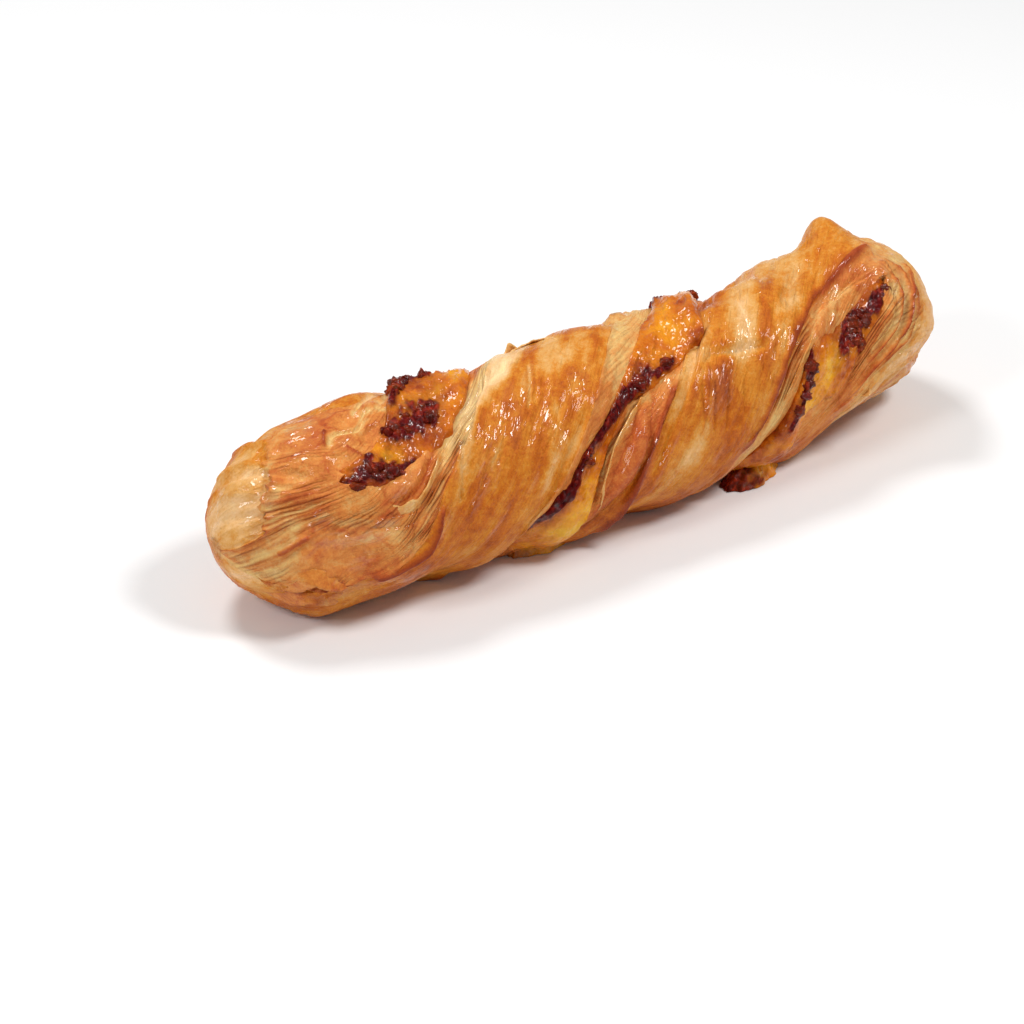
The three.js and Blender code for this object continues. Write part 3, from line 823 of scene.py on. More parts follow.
def pale_places(x, places, skin):
    """Change of browning along the left and the middle groove of sheet 1."""
    ragged = mixed_noise(x, places["A"], PALE_RIM)
    from_a = places["A"] + ragged
    pale_from, pale_to = np.interp(x, PALE_X, PALE_FROM), np.interp(x, PALE_X, PALE_TO)
    pale = between(from_a, (pale_from - 2, pale_from + 1), (pale_to, pale_to + 4))
    pale = pale * between(x, *PALE_ENDS)
    border = (1 - smoothstep(places["B"] + ragged, *BORDER_PLACE)) * smoothstep(x, *BORDER_FROM)
    border = border * (1 - skin) * (places["A"] > HALF_ROUND / 2)
    return PALE_CHANGE * pale + BORDER_CHANGE * border


def bake_and_shade_field(points, x, places, fields, side):
    """How brown the crust is, with painted light and shade added, from 0, pale, to 1, dark."""
    skin = fields["skin"]
    share = end_share(x)
    low = 1 - smoothstep(points[..., 2], *LOW_PART)
    streaks = matched_noise(BAKE_STREAKS, x, places, share)
    clouds = matched_noise(BAKE_CLOUDS, x, places, share)
    baked_and_shaded = lerp(BAKED_LEAVES + CLOUDS_ON_LEAVES * clouds, BAKED_SKIN + streaks + clouds, skin)
    baked_and_shaded = baked_and_shaded + LOW_BROWNING_AND_SHADE * low + TONE_SHARE * fields["tone"]
    for patch in BROWNING:
        baked_and_shaded = baked_and_shaded + patch[-1] * patches_field([patch[:-1] + (1.0,)], x, places, 75)
    if side > 0:
        baked_and_shaded = baked_and_shaded + pale_places(x, places, skin)
    return np.clip(baked_and_shaded, 0.0, 1.0)


# Meshes

def tube_mesh(name, rings, poles):
    """A closed mesh through rings of points, from one pole to the other, with a map of its grid."""
    rows, columns = rings.shape[:2]
    index = np.arange(rows * columns).reshape(rows, columns)
    after = np.roll(index, -1, axis=1)
    quads = np.stack([index[:-1], after[:-1], after[1:], index[1:]], -1).reshape(-1, 4)
    first, last = rows * columns, rows * columns + 1
    start = np.stack([np.full(columns, first), after[0], index[0]], -1)
    stop = np.stack([np.full(columns, last), index[-1], after[-1]], -1)
    vertices = np.vstack([rings.reshape(-1, 3), poles]) * MM
    mesh = bpy.data.meshes.new(name)
    mesh.from_pydata(vertices.tolist(), [], quads.tolist() + start.tolist() + stop.tolist())
    add_map(mesh, rows, columns)
    if signed_volume(vertices, quads) < 0:
        mesh.flip_normals()
    mesh.polygons.foreach_set("use_smooth", np.ones(len(mesh.polygons), bool))
    return mesh


def add_map(mesh, rows, columns):
    """Lays the grid of a tube flat: columns across, rows up."""
    row = np.arange(1, rows)[:, None]
    column = np.arange(columns)[None, :]
    faces = [
        [(column, row), (column + 1, row), (column + 1, row + 1), (column, row + 1)],
        [(column + 0.5, 0), (column + 1, 1), (column, 1)],
        [(column + 0.5, rows + 1), (column, rows), (column + 1, rows)],
    ]
    flat = []
    for corners in faces:
        spread = [np.stack(np.broadcast_arrays(*corner), -1) for corner in corners]
        flat.append(np.stack(spread, -2).reshape(-1, 2))
    places = np.vstack(flat) / (columns, rows + 1)
    layer = mesh.uv_layers.new(name="OFBake")
    layer.data.foreach_set("uv", places.astype(np.float32).ravel())


def signed_volume(vertices, quads):
    a, b, c, d = (vertices[quads[:, n]] for n in range(4))
    return float(np.sum(a * np.cross(b, c)) + np.sum(a * np.cross(c, d))) / 6


def set_values(mesh, name, values, spare=0):
    """Stores one number, or three, for each vertex; spare vertices at the end get the mean."""
    values = np.asarray(values, np.float32)
    if spare:
        values = np.concatenate([values, np.repeat(values.mean(0, keepdims=True), spare, 0)])
    if values.ndim == 1:
        mesh.attributes.new(name, "FLOAT", "POINT").data.foreach_set("value", values)
    else:
        mesh.attributes.new(name, "FLOAT_VECTOR", "POINT").data.foreach_set("vector", values.ravel())


def add_object(name, mesh, material, node):
    """A piece that rides with the twist and stands for one of its solids."""
    mesh.materials.append(material)
    piece = bpy.data.objects.new(name, mesh)
    bpy.context.scene.collection.objects.link(piece)
    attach(piece, "root")
    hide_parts(node)


def inner_walls(x, first_lip, last_lip, flat, ease):
    """The hidden face from one lip to the other, flat at a distance from the twist's middle."""
    angle = np.radians(edge_angle(x))
    centre = section_point(x, 0 * x, 0 * x)
    out_way = np.stack([0 * x, -np.cos(angle), np.sin(angle)], -1)
    off_way = np.stack([0 * x, -np.sin(angle), -np.cos(angle)], -1)
    columns = []
    for step in np.linspace(0, 1, WALL_COLUMNS + 2)[1:-1]:
        lip = first_lip if step < 0.5 else last_lip
        inward = abs(2 * step - 1)
        lip_out = np.sum((lip - centre) * out_way, -1)
        lip_off = np.sum((lip - centre) * off_way, -1)
        off = lerp(flat, lip_off, smoothstep(inward, ease, 1.0))
        columns.append(centre + (lip_out * inward)[:, None] * out_way + off[:, None] * off_way)
    return np.stack(columns, 1)


def store_sheet(mesh, fields, strip):
    """Keeps with a sheet's mesh what its material needs, with plain values on the hidden face."""
    blank = np.zeros((len(strip), WALL_COLUMNS))
    for key in ("bake_and_shade", "skin", "crevice_shade", "gloss", "leafy", "wet"):
        set_values(mesh, key, np.hstack([fields[key], blank]).ravel(), spare=2)
    inner = np.repeat(strip[:, -1:], WALL_COLUMNS, 1)
    set_values(mesh, "strip", np.concatenate([strip, inner], 1).reshape(-1, 3), spare=2)


def make_sheet(name, side, material):
    """One sheet of the pastry, with its outer skin and its two flaky cut edges."""
    rows = strip_rows()
    from_a, is_skin = sheet_columns(rows, side)
    x = np.broadcast_to(rows[:, None], from_a.shape)
    places = {"A": side * from_a, "B": side * (HALF_ROUND - from_a)}
    share = end_share(x)
    radius = np.where(
        from_a < HALF_ROUND / 2,
        base_radius(x, places["A"], "A", side),
        base_radius(x, places["B"], "B", side),
    )
    turn = side * from_a / RADIUS
    points = section_point(x, radius * np.cos(turn), radius * np.sin(turn))
    fields = sheet_fields(x, places, share, is_skin, side)
    calm = np.minimum(1.0, share * CALM_ENDS)
    points = points + side * (fields["relief"] * calm)[..., None] * grid_normals(points)
    flat = side * lerp(CLOSED_LIP, CHEESE_HALF_THICK + SLOT_GAP, slot_share(rows))
    flat = flat * np.minimum(1, end_share(rows) * FLAT_ENDS)
    walls = inner_walls(rows, points[:, -1], points[:, 0], flat, SHEET_WALL_EASE)
    rings = settle(np.concatenate([points, walls], 1))
    poles = section_point(np.array([-LENGTH / 2, LENGTH / 2]), np.zeros(2), np.zeros(2))
    mesh = tube_mesh(name, rings, poles)
    fields["bake_and_shade"] = bake_and_shade_field(points, x, places, fields, side)
    fields["gloss"] = np.clip(fields["gloss"], 0, 1)
    store_sheet(mesh, fields, np.stack([x, places["A"] * share, fields["stack"]], -1))
    add_object(name, mesh, material, "pastry")


# Lifted flakes: edge, points along the free rim, reach back to the root (plus is to the rim's
# left), lift of the rim, browning
FLAKES = [
    ("A", [(-19, 22.5), (-15.5, 27), (-11.5, 31.5), (-8.5, 37), (-6, 43), (-4, 48)], -5.0,
     0.8, 0.2),
    ("A", [(-18, 22.5), (-15, 25.5), (-12, 29)], -3.5, 2.3, 0.24),
    ("A", [(-77, 11), (-73.5, 13.2), (-69, 14.9), (-64.5, 15.3), (-60, 15.2), (-55, 15.4)], 4.0,
     2.0, 0.34),
    ("B", [(12, 27), (16, 23), (20, 19), (24, 15.5)], -5.0, 1.7, 0.36),
    ("B", [(14, -10), (8, -4.3), (3, -0.6), (-3, 1.6), (-8, 2.6), (-11.2, 0.3), (-13.4, -2.5),
           (-14, -8.5), (-13.7, -13)], 5.0, 2.0, 0.36),
    ("A", [(-86, 33.2), (-91, 34.3), (-95, 32.2), (-97.5, 30.4), (-99.5, 29.9), (-101.5, 33.5),
           (-104, 38)], 4.0, 2.0, 0.5),
    ("A", [(-90, 39), (-95, 40.5), (-99, 38), (-103, 42), (-107, 46)], 4.0, 1.7, 0.55),
    ("A", [(-104, 38), (-108, 35), (-111, 30)], 4.0, 1.5, 0.5),
    ("A", [(77, 22.5), (79, 24), (81, 24)], 2.5, 1.4, 0.42),
    ("A", [(44, -20), (52, -22), (60, -20.5), (67, -18)], 3.5, 1.0, 0.42),
    ("A", [(30, 24), (24, 27), (17, 24), (10, 25)], -4.0, 1.4, 0.44),
    ("B", [(-60, -16), (-52, -18), (-46, -15)], 4.0, 1.4, 0.44),
    ("B", [(58, 17), (66, 18.8), (75, 17.5)], 4.0, 1.6, 0.42),
    ("A", [(-30, -19.5), (-20, -20.8), (-9, -21.5)], -4.0, 1.6, 0.42),
]
FLAKE_STEPS = 9
FLAKE_SINK = 1.4
FLAKE_THICK = 0.35
FLAKE_RIM = [(0.16, 3, 3, 0.5, 55), (0.05, 1.1, 1.1, 0.5, 58)]
FLAKE_CURL = [(0.3, 2.5, 2.5, 0.5, 56)]
FLAKE_TINT = [(0.12, 2, 2, 0.5, 57)]
FLAKE_FINISH = {"skin": 0.5, "crevice_shade": 0.0, "gloss": 0.4, "leafy": 0.1, "wet": 0.3}


def flake_places(points, reach):
    """Places of a flake's grid, from its root to its ragged rim, and how far out each lies."""
    rim = smooth_line(points)
    step = np.gradient(rim, axis=0)
    away = np.stack([-step[:, 1], step[:, 0]], -1) / np.linalg.norm(step, axis=1)[:, None]
    share = np.linspace(0, 1, FLAKE_STEPS)[None, :]
    ragged = 1 + mixed_noise(rim[:, 0], rim[:, 1], FLAKE_RIM)
    out = share * ragged[:, None]
    x = rim[:, :1] + away[:, :1] * reach * (1 - out)
    place = rim[:, 1:] + away[:, 1:] * reach * (1 - out)
    length = np.linspace(0, 1, len(rim))[:, None]
    return x, place, out * np.sqrt(4 * length * (1 - length))


def make_flakes(material):
    """Thin leaves of pastry that have lifted at their rims."""
    for number, (edge, points, reach, lift, baked_and_shaded) in enumerate(FLAKES):
        x, place, out = flake_places(points, reach)
        side = np.sign(place.mean())
        rise = lift + FLAKE_SINK + mixed_noise(x, place, FLAKE_CURL)
        radius = base_radius(x, place, edge, side) - FLAKE_SINK + rise * out ** 1.5
        top = bead_point(x, place, edge, radius)
        normals = grid_normals(top)
        outward = top - section_point(x, 0 * x, 0 * x)
        normals *= np.sign(np.sum(normals * outward, -1))[..., None]
        rings = settle(np.concatenate([top, (top - FLAKE_THICK * normals)[:, ::-1]], 1))
        poles = np.array([rings[0].mean(0), rings[-1].mean(0)])
        name = "lifted_flake_%d" % (number + 1)
        mesh = tube_mesh(name, rings, poles)
        tint = baked_and_shaded + mixed_noise(x, place, FLAKE_TINT)
        both = np.concatenate([tint, tint[:, ::-1]], 1)
        set_values(mesh, "bake_and_shade", both.ravel(), spare=2)
        for key, value in FLAKE_FINISH.items():
            set_values(mesh, key, np.full(both.size, value), spare=2)
        strip = np.stack([x, place, place], -1)
        set_values(mesh, "strip", np.concatenate([strip, strip[:, ::-1]], 1).reshape(-1, 3), spare=2)
        add_object(name, mesh, material, "pastry")


# The browned cheese

# Dark, caramelised places: edge, half width, share of crumbs, points
DARK_LINES = [
    ("A", 2.8, 1.0, [(-88, 4), (-84, 2.5), (-78, 1), (-73, 3)]),
    ("A", 1.7, 0.8, [(-74, 3), (-70, 5.5), (-66, 7)]),
    ("A", 1.7, 0.8, [(-79, 1), (-77, -3.5)]),
    ("A", 4.0, 0.8, [(-65, -4), (-60, -1), (-56, 2), (-53, 5.5)]),
    ("A", 2.2, 0.9, [(-60, -10), (-54, -11.5), (-48, -8), (-44, -2)]),
    ("B", 2.9, 0.12, [(-43, 14), (-36, 12), (-30, 11), (-24, 10.2), (-19, 11.4), (-13, 12)]),
    ("B", 2.2, 0.8, [(-15, 12.2), (-8, 9.8), (-1, 6.4), (5, 3.2), (10, -0.5)]),
    ("B", 1.1, 0.6, [(10, -0.5), (14, -5), (19, -9)]),
    ("B", 1.6, 0.9, [(29, 7.5), (35, 3.5), (41, -3), (45, -8)]),
    ("A", 3.0, 0.9, [(90, 4), (86, 3.2), (82, 1.8), (79, 0.5)]),
    ("A", 4.0, 0.9, [(78, -1.5), (76, -2), (73.5, -2.5)]),
    ("A", 1.8, 0.8, [(77, 1), (78, 4.5), (78.5, 8)]),
    ("A", 1.8, 0.6, [(59, -20), (57.5, -15), (56, -11.5), (50, -10)]),
    ("A", 2.5, 0.6, [(44, -14), (38, -14), (30, -12)]),
    ("A", 1.8, 0.7, [(-12, 0), (-4, 1), (4, 0)]),
    ("B", 1.8, 0.7, [(54, 1), (61, 2), (68, 0)]),
    ("B", 1.6, 0.6, [(-72, 1), (-65, 0), (-58, 1)]),
]
# Bright yellow places: edge, x, place, reach
YELLOW = [("A", -70, 1, 4), ("A", -47, 4, 5), ("A", -39, 9, 5), ("B", 40, -6, 7), ("B", 25, -3, 8),
          ("B", -23, -4, 10), ("A", 64, -3, 8), ("A", 59, -9, 5)]

# The bead along a cut edge: where its rim is and where it ends, in shares of its half width, how deep
# its rim and ends are sunk, its height, the share of its lift, and its melted surface
BEAD_RIM = 0.94
BEAD_OVERLAP = 1.16
BEAD_RIM_SUNK = 2.6
BEAD_END_SUNK = 2.5
BEAD_HEIGHT = 0.35
BEAD_LIFT = 0.85
MELTED = [(0.8, 6, 4.5, 3.0, 87), (0.3, 2.2, 2.0, 3.0, 88)]

# Outlines of the dark places and of the stain round them
DARK_RIM = [(1.2, 3.4, 3.4, 5.0, 81), (0.4, 1.8, 1.8, 5.0, 82)]
DARK_RAGGED = 0.6
DARK_EASE = (0.6, 1.3)
STAIN_EASE = (0.8, 2.4)
STAIN = 0.4

# Runs on the tray
RUN_RINGS = 44
RUN_SPOKES = 150
RUN_LIP = 0.9
RUN_LIP_POWER = 10
RUN_FULLNESS = 1.8
RUN_ROUGH_WAY = (0.3, -0.7, 0.6)
RUN_ROUGH_POWER = 6
CRISP_EASE = 0.6

# Crumbs: how many there are, where they lie, their sizes, and how dark and rough they are
BIT_SEED = 7
BITS_PER_MM2 = 0.6
BIT_SPREAD = 0.42
BIT_REACH = 1.1
BIT_ENDS = (CHEESE_START + 2, CHEESE_STOP - 1)
BIT_CLUMP = 5.0
BARE_BELOW = -0.12
BIT_SINK = (-1.4, -0.35)
BIT_SIZES = (0.5, 1.7)
BIT_STRETCH = (0.6, 1.3)
BIT_TILT = 0.6
BIT_DARK = (0.9, 1.0)
BIT_BALL = 3
BIT_ROUGH = 0.9
BIT_CRESTS = 0.06
BIT_SPACING = 5.17


def bead_dark(x, place, edge):
    """How far the cheese is caramelised at each place."""
    dark = np.zeros(x.shape)
    ones = np.ones(x.shape)
    for at_edge, half, _, points in DARK_LINES:
        if at_edge != edge:
            continue
        near, distance, _ = line_field(x, place, ones, points, 4 * half)
        ragged = mixed_noise(x[near], place[near], DARK_RIM)
        off = np.abs(distance) / half + DARK_RAGGED * ragged
        spread = 1 - smoothstep(off, *DARK_EASE)
        stain = STAIN * (1 - smoothstep(off, *STAIN_EASE))
        dark[near] = np.maximum(dark[near], np.maximum(spread, stain))
    return dark


def bead_sizes(x, edge):
    """Half width, ragged, with the lift and shift of one edge's bead of cheese."""
    half, lift, shift = bead(x, edge)
    ragged = 1 + 0.16 * noise(x / 5, 0.7, 0, seed=83) + 0.08 * noise(x / 1.8, 0.9, 0, seed=84)
    return half * ragged, lift, shift


def bead_radius(x, place, edge, dark):
    """Distance of the cheese's surface from the twist's axis."""
    half, lift, shift = bead_sizes(x, edge)
    across = (place - shift) / half
    ground = np.where(
        place > wander(x, edge),
        base_radius(x, place, edge, 1),
        base_radius(x, place, edge, -1),
    )
    inside = np.sqrt(np.clip(1 - across ** 2, 0, 1))
    crags = 1.1 * np.abs(noise(x / 3.0, place / 2.6, 1.0, seed=85))
    crags += 0.5 * noise(x / 1.7, place / 1.7, 2.0, seed=86)
    bubbles = np.maximum(noise(x / 1.5, place / 1.5, 6.0, seed=89) - 0.25, 0) * 1.2
    surface = lerp(mixed_noise(x, place, MELTED) + bubbles, crags + 0.3, dark)
    height = (BEAD_HEIGHT + BEAD_LIFT * lift) * inside + surface * np.minimum(1, 2 * inside)
    sunk = smoothstep(np.abs(across), BEAD_RIM, BEAD_OVERLAP)
    taper = slot_share(x)
    return ground + taper * height - BEAD_RIM_SUNK * sunk - BEAD_END_SUNK * (1 - taper)


def bead_point(x, place, edge, radius):
    turn = place / RADIUS
    if edge == "B":
        turn = np.pi - turn
    return section_point(x, radius * np.cos(turn), radius * np.sin(turn))


def bead_yellow(x, place, edge):
    yellow = np.zeros(x.shape)
    for at_edge, at, at_place, reach in YELLOW:
        if at_edge == edge:
            yellow = np.maximum(yellow, hump(np.hypot(x - at, place - at_place), reach))
    return yellow


def bead_top(x, across, edge):
    """Points of one edge's bead of cheese, with how dark and how yellow they are."""
    half, _, shift = bead_sizes(x, edge)
    place = shift + across * half
    dark = bead_dark(x, place, edge)
    points = bead_point(x, place, edge, bead_radius(x, place, edge, dark))
    return points, dark, bead_yellow(x, place, edge)


def make_cheese(material):
    """The layer of cheese, with a browned bead along each cut edge."""
    rows = np.linspace(CHEESE_START, CHEESE_STOP, BEAD_ROWS + 2)[1:-1]
    across = np.linspace(-BEAD_OVERLAP, BEAD_OVERLAP, BEAD_COLUMNS)
    x, rho = np.meshgrid(rows, across, indexing="ij")
    top_a, dark_a, yellow_a = bead_top(x, rho, "A")
    top_b, dark_b, yellow_b = bead_top(x, -rho, "B")
    flat = CHEESE_HALF_THICK * slot_share(rows)
    wall_1 = inner_walls(rows, top_a[:, -1], top_b[:, 0], flat, CHEESE_WALL_EASE)
    wall_2 = inner_walls(rows, top_b[:, -1], top_a[:, 0], -flat, CHEESE_WALL_EASE)
    rings = settle(np.concatenate([top_a, wall_1, top_b, wall_2], 1))
    poles = section_point(np.array([CHEESE_START, CHEESE_STOP]), np.zeros(2), np.zeros(2))
    mesh = tube_mesh("cheese_layer", rings, poles)
    blank = np.zeros((len(rows), WALL_COLUMNS))
    set_values(mesh, "dark", np.hstack([dark_a, blank, dark_b, blank]).ravel(), spare=2)
    set_values(mesh, "yellow", np.hstack([yellow_a, blank, yellow_b, blank]).ravel(), spare=2)
    add_object("cheese_layer", mesh, material, "cheese_filling")


def ball(rings):
    """Points and triangles of a unit ball."""
    mesh = bmesh.new()
    bmesh.ops.create_icosphere(mesh, subdivisions=rings, radius=1.0)
    points = np.array([v.co[:] for v in mesh.verts])
    faces = np.array([[v.index for v in f.verts] for f in mesh.faces])
    mesh.free()
    return points, faces


def bits_mesh(name, bits):
    """Uneven crumbs joined in one mesh: each has a middle, axes and darkness."""
    points, faces = ball(BIT_BALL)
    all_points, all_faces, dark = [], [], []
    for number, (middle, axes, darkness) in enumerate(bits):
        spots = points.T + BIT_SPACING * number
        bumps = 0.5 * noise(*(spots * 1.1), seed=91) + 0.7 * np.abs(noise(*(spots * 2.3), seed=92))
        all_points.append(middle + (points * (1 + BIT_ROUGH * bumps)[:, None]) @ axes)
        all_faces.append(faces + number * len(points))
        dark.append(darkness - BIT_CRESTS * np.clip(bumps, 0, 1))
    mesh = bpy.data.meshes.new(name)
    vertices = settle(np.vstack(all_points)) * MM
    mesh.from_pydata(vertices.tolist(), [], np.vstack(all_faces).tolist())
    mesh.polygons.foreach_set("use_smooth", np.ones(len(mesh.polygons), bool))
    set_values(mesh, "dark", np.concatenate(dark))
    set_values(mesh, "yellow", np.zeros(len(vertices)))
    return mesh


def upright(normal):
    """Three axes at right angles, the last along a normal."""
    first = np.cross(normal, (0.31, 0.87, 0.38))
    first /= np.linalg.norm(first)
    return np.stack([first, np.cross(normal, first), normal])


def make_bits(material):
    """Crisp browned crumbs of filling along the dark places."""
    rng = np.random.default_rng(BIT_SEED)
    bits = []
    for edge, half, crumbs, points in DARK_LINES:
        line = smooth_line(points)
        length = np.linalg.norm(np.diff(line, axis=0), axis=1).sum()
        for _ in range(int(BITS_PER_MM2 * crumbs * length * 2 * half)):
            x, place = line[rng.integers(len(line))] + rng.normal(0, BIT_SPREAD * half, 2)
            at, where = np.array([x]), np.array([place])
            width, _, shift = bead_sizes(at, edge)
            if abs(place - shift[0]) > BIT_REACH * width[0] or not BIT_ENDS[0] < x < BIT_ENDS[1]:
                continue
            if noise(at / BIT_CLUMP, where / BIT_CLUMP, 0.5, seed=97)[0] < BARE_BELOW:
                continue
            radius = bead_radius(at, where, edge, np.ones(1)) + rng.uniform(*BIT_SINK)
            middle = bead_point(at, where, edge, radius)[0]
            normal = middle - section_point(at, np.zeros(1), np.zeros(1))[0]
            stretch = rng.uniform(*BIT_SIZES) * rng.uniform(*BIT_STRETCH, 3)
            turned = normal / np.linalg.norm(normal) + rng.normal(0, BIT_TILT, 3)
            axes = upright(turned / np.linalg.norm(turned)) * stretch[:, None]
            bits.append((middle, axes, rng.uniform(*BIT_DARK)))
    mesh = bits_mesh("browned_bits", bits)
    add_object("browned_bits", mesh, material, "cheese_filling")


def mound(run):
    """Points of a mound with a ragged rim, in rings from its top out, with its browning."""
    x, y, half_long, half_wide, high, turn, crisp_from, crisp = run
    share = np.sqrt(np.linspace(0, 1, RUN_RINGS + 1))[1:, None]
    way = np.linspace(0, 2 * np.pi, RUN_SPOKES, endpoint=False)[None, :]
    rim = 1 + 0.16 * noise(2.2 * np.cos(way) + x, 2.2 * np.sin(way), 0.5, seed=93)
    rim = rim + 0.06 * noise(6 * np.cos(way) + x, 6 * np.sin(way), 0.5, seed=94)
    along = half_long * rim * share * np.cos(way)
    across = half_wide * rim * share * np.sin(way)
    top = high * (1 - share ** RUN_FULLNESS) + RUN_LIP * (1 - share ** RUN_LIP_POWER)
    c, s = math.cos(math.radians(turn)), math.sin(math.radians(turn))
    places = (x + c * along - s * across, y + s * along + c * across, top)
    points = np.stack(np.broadcast_arrays(*places), -1)
    spots = np.moveaxis(points, -1, 0)
    rough = 0.9 * noise(*(spots / 5), seed=95)
    rough += lerp(0.3, 0.9, crisp) * noise(*(spots / 1.8), seed=96)
    rough = rough * (1 - share ** RUN_ROUGH_POWER)
    points = points + rough[..., None] * np.array(RUN_ROUGH_WAY)
    leftward = -along / half_long + 0.5 * noise(*(spots / 3), seed=98)
    return points, crisp * smoothstep(leftward, crisp_from, crisp_from + CRISP_EASE)


def make_runs(material):
    """Cheese that has run out at the bottom and set on the tray, crisp at one end."""
    for number, run in enumerate(RUNS):
        rings, dark = mound(run)
        name = "cheese_run_%d" % (number + 1)
        rings = settle(rings)
        poles = np.array([rings[0].mean(0), rings[-1].mean(0)])
        mesh = tube_mesh(name, rings, poles)
        set_values(mesh, "dark", dark.ravel(), spare=2)
        set_values(mesh, "yellow", (1 - dark).ravel(), spare=2)
        add_object(name, mesh, material, "cheese_filling")


# Materials

def linear(colour):
    """A colour given as 0 to 255 in sRGB, as the linear values that shaders take."""
    c = np.asarray(colour, float) / 255.0
    return tuple(np.where(c <= 0.04045, c / 12.92, ((c + 0.055) / 1.055) ** 2.4)) + (1.0,)


class Nodes:
    """Short calls for making and linking the nodes of one material."""

    def __init__(self, name):
        self.material = bpy.data.materials.new(name)
        self.material.use_nodes = True
        self.tree = self.material.node_tree
        self.tree.nodes.clear()
        self.shader = self.make("BsdfPrincipled")
        output = self.make("OutputMaterial")
        self.put(self.shader.outputs[0], output.inputs["Surface"])

    def make(self, kind, **settings):
        """A new node with the given settings."""
        node = self.tree.nodes.new("ShaderNode" + kind)
        for key, value in settings.items():
            setattr(node, key, value)
        return node

    def put(self, value, socket):
        """Links a value that varies, or sets one that doesn't."""
        if isinstance(value, bpy.types.NodeSocket):
            self.tree.links.new(value, socket)
        else:
            socket.default_value = value

    def fill(self, node, **values):
        """Gives a node some of its inputs."""
        for name, value in values.items():
            self.put(value, node.inputs[name])

    def set(self, name, value):
        """Gives the shader one of its inputs."""
        self.put(value, self.shader.inputs[name])

    def stored(self, name, output="Fac"):
        """Values that the mesh keeps under a name."""
        return self.make("Attribute", attribute_name=name).outputs[output]

    def position(self):
        return self.make("NewGeometry").outputs["Position"]

    def math(self, operation, *values):
        node = self.make("Math", operation=operation)
        for value, socket in zip(values, node.inputs):
            self.put(value, socket)
        return node.outputs[0]

    def plus(self, first, second):
        return self.math("ADD", first, second)

    def times(self, first, second):
        return self.math("MULTIPLY", first, second)

    def fit(self, value, slope, base):
        """A value times a slope, on top of a base."""
        return self.math("MULTIPLY_ADD", value, slope, base)

    def swing(self, value, size):
        """A value from 0 to 1 as a swing to both sides of 0."""
        return self.times(self.math("SUBTRACT", value, 0.5), size)

    def clamped(self, value):
        return self.math("MINIMUM", self.math("MAXIMUM", value, 0.0), 1.0)

    def scaled(self, vector, scale):
        node = self.make("VectorMath", operation="MULTIPLY")
        self.put(vector, node.inputs[0])
        self.put(scale, node.inputs[1])
        return node.outputs[0]

    def part(self, vector, axis):
        node = self.make("SeparateXYZ")
        self.put(vector, node.inputs[0])
        return node.outputs[axis]

    def noise(self, vector, scale=1.0, detail=2.0, rough=0.5):
        node = self.make("TexNoise")
        self.fill(node, Vector=vector, Scale=scale, Detail=detail, Roughness=rough)
        return node.outputs["Fac"]

    def ramp(self, factor, stops):
        node = self.make("ValToRGB")
        elements = node.color_ramp.elements
        while len(elements) < len(stops):
            elements.new(0.5)
        for element, (place, colour) in zip(elements, stops):
            element.position = place
            element.color = linear(colour)
        self.put(factor, node.inputs[0])
        return node.outputs[0]

    def mix(self, factor, first, second):
        node = self.make("Mix", data_type="RGBA")
        self.put(factor, node.inputs["Factor"])
        self.put(first, node.inputs[6])
        self.put(second, node.inputs[7])
        return node.outputs[2]

    def bump(self, height, distance, strength=1.0):
        node = self.make("Bump")
        self.fill(node, Strength=strength, Distance=distance, Height=height)
        return node.outputs["Normal"]


SKIN_COLOURS = [
    (0.00, (250, 219, 165)),
    (0.20, (242, 192, 132)),
    (0.34, (226, 166, 90)),
    (0.46, (216, 134, 38)),
    (0.58, (196, 102, 20)),
    (0.74, (160, 70, 18)),
    (0.88, (116, 42, 18)),
    (1.00, (70, 24, 16)),
]
LEAF_COLOURS = [
    (0.00, (246, 220, 160)),
    (0.25, (233, 191, 118)),
    (0.45, (222, 140, 66)),
    (0.62, (194, 96, 42)),
    (0.80, (152, 60, 28)),
    (1.00, (84, 30, 16)),
]
CREVICE_SHADE_COLOUR = (156, 60, 22)
CREVICE_SHADE_DARK = 0.7

# Thin lines between leaves: distance from one to the next, width, and how dark they are painted, as
# painted shade in the gaps
LINE_PITCH = 1.15
LINE_WIDTH = 0.36
LINE_SHADE = 0.85

# How far single leaves, spots, specks and streaks change the tone
LEAF_TINTS = 0.5
SPOTS = 0.40
SPECKS = 0.26
STREAKS = 0.11

# Heights of the bump in metres
CRUST_BUMP = 0.0009
GLAZE_BUMP = 0.0013
CHEESE_BUMP = 0.0008
OIL_BUMP = 0.0009

# Shine of the crust and of the cheese, roughness of the film on both, and the light let through
CRUST_SHINE = 0.12
CHEESE_SHINE = 0.1
COAT_ROUGHNESS = 0.05
LIGHT_THROUGH = 0.05

CHEESE_COLOURS = [
    (0.00, (160, 64, 10)),
    (0.25, (200, 102, 10)),
    (0.50, (220, 130, 14)),
    (0.75, (234, 156, 22)),
    (1.00, (244, 184, 44)),
]
CRISP_COLOURS = [
    (0.34, (48, 2, 4)),
    (0.52, (98, 12, 10)),
    (0.70, (168, 48, 22)),
]


def leaf_lines(n, strip):
    """1 along thin wavy lines between leaves, each fading in and out along its length."""
    sway = n.noise(n.scaled(strip, (0.09, 0.0, 0.30)), 1.0, 1.0)
    turn = n.fit(n.part(strip, "Z"), 1.0 / LINE_PITCH, sway)
    off = n.math("ABSOLUTE", n.math("SUBTRACT", n.math("FRACT", turn), 0.5))
    line = n.math("MAXIMUM", n.fit(off, -LINE_PITCH / LINE_WIDTH, 1.0), 0.0)
    shows = n.noise(n.scaled(strip, (0.11, 0.0, 0.7)), 1.0, 1.0)
    return n.times(line, n.clamped(n.fit(shows, 5.0, -1.8)))


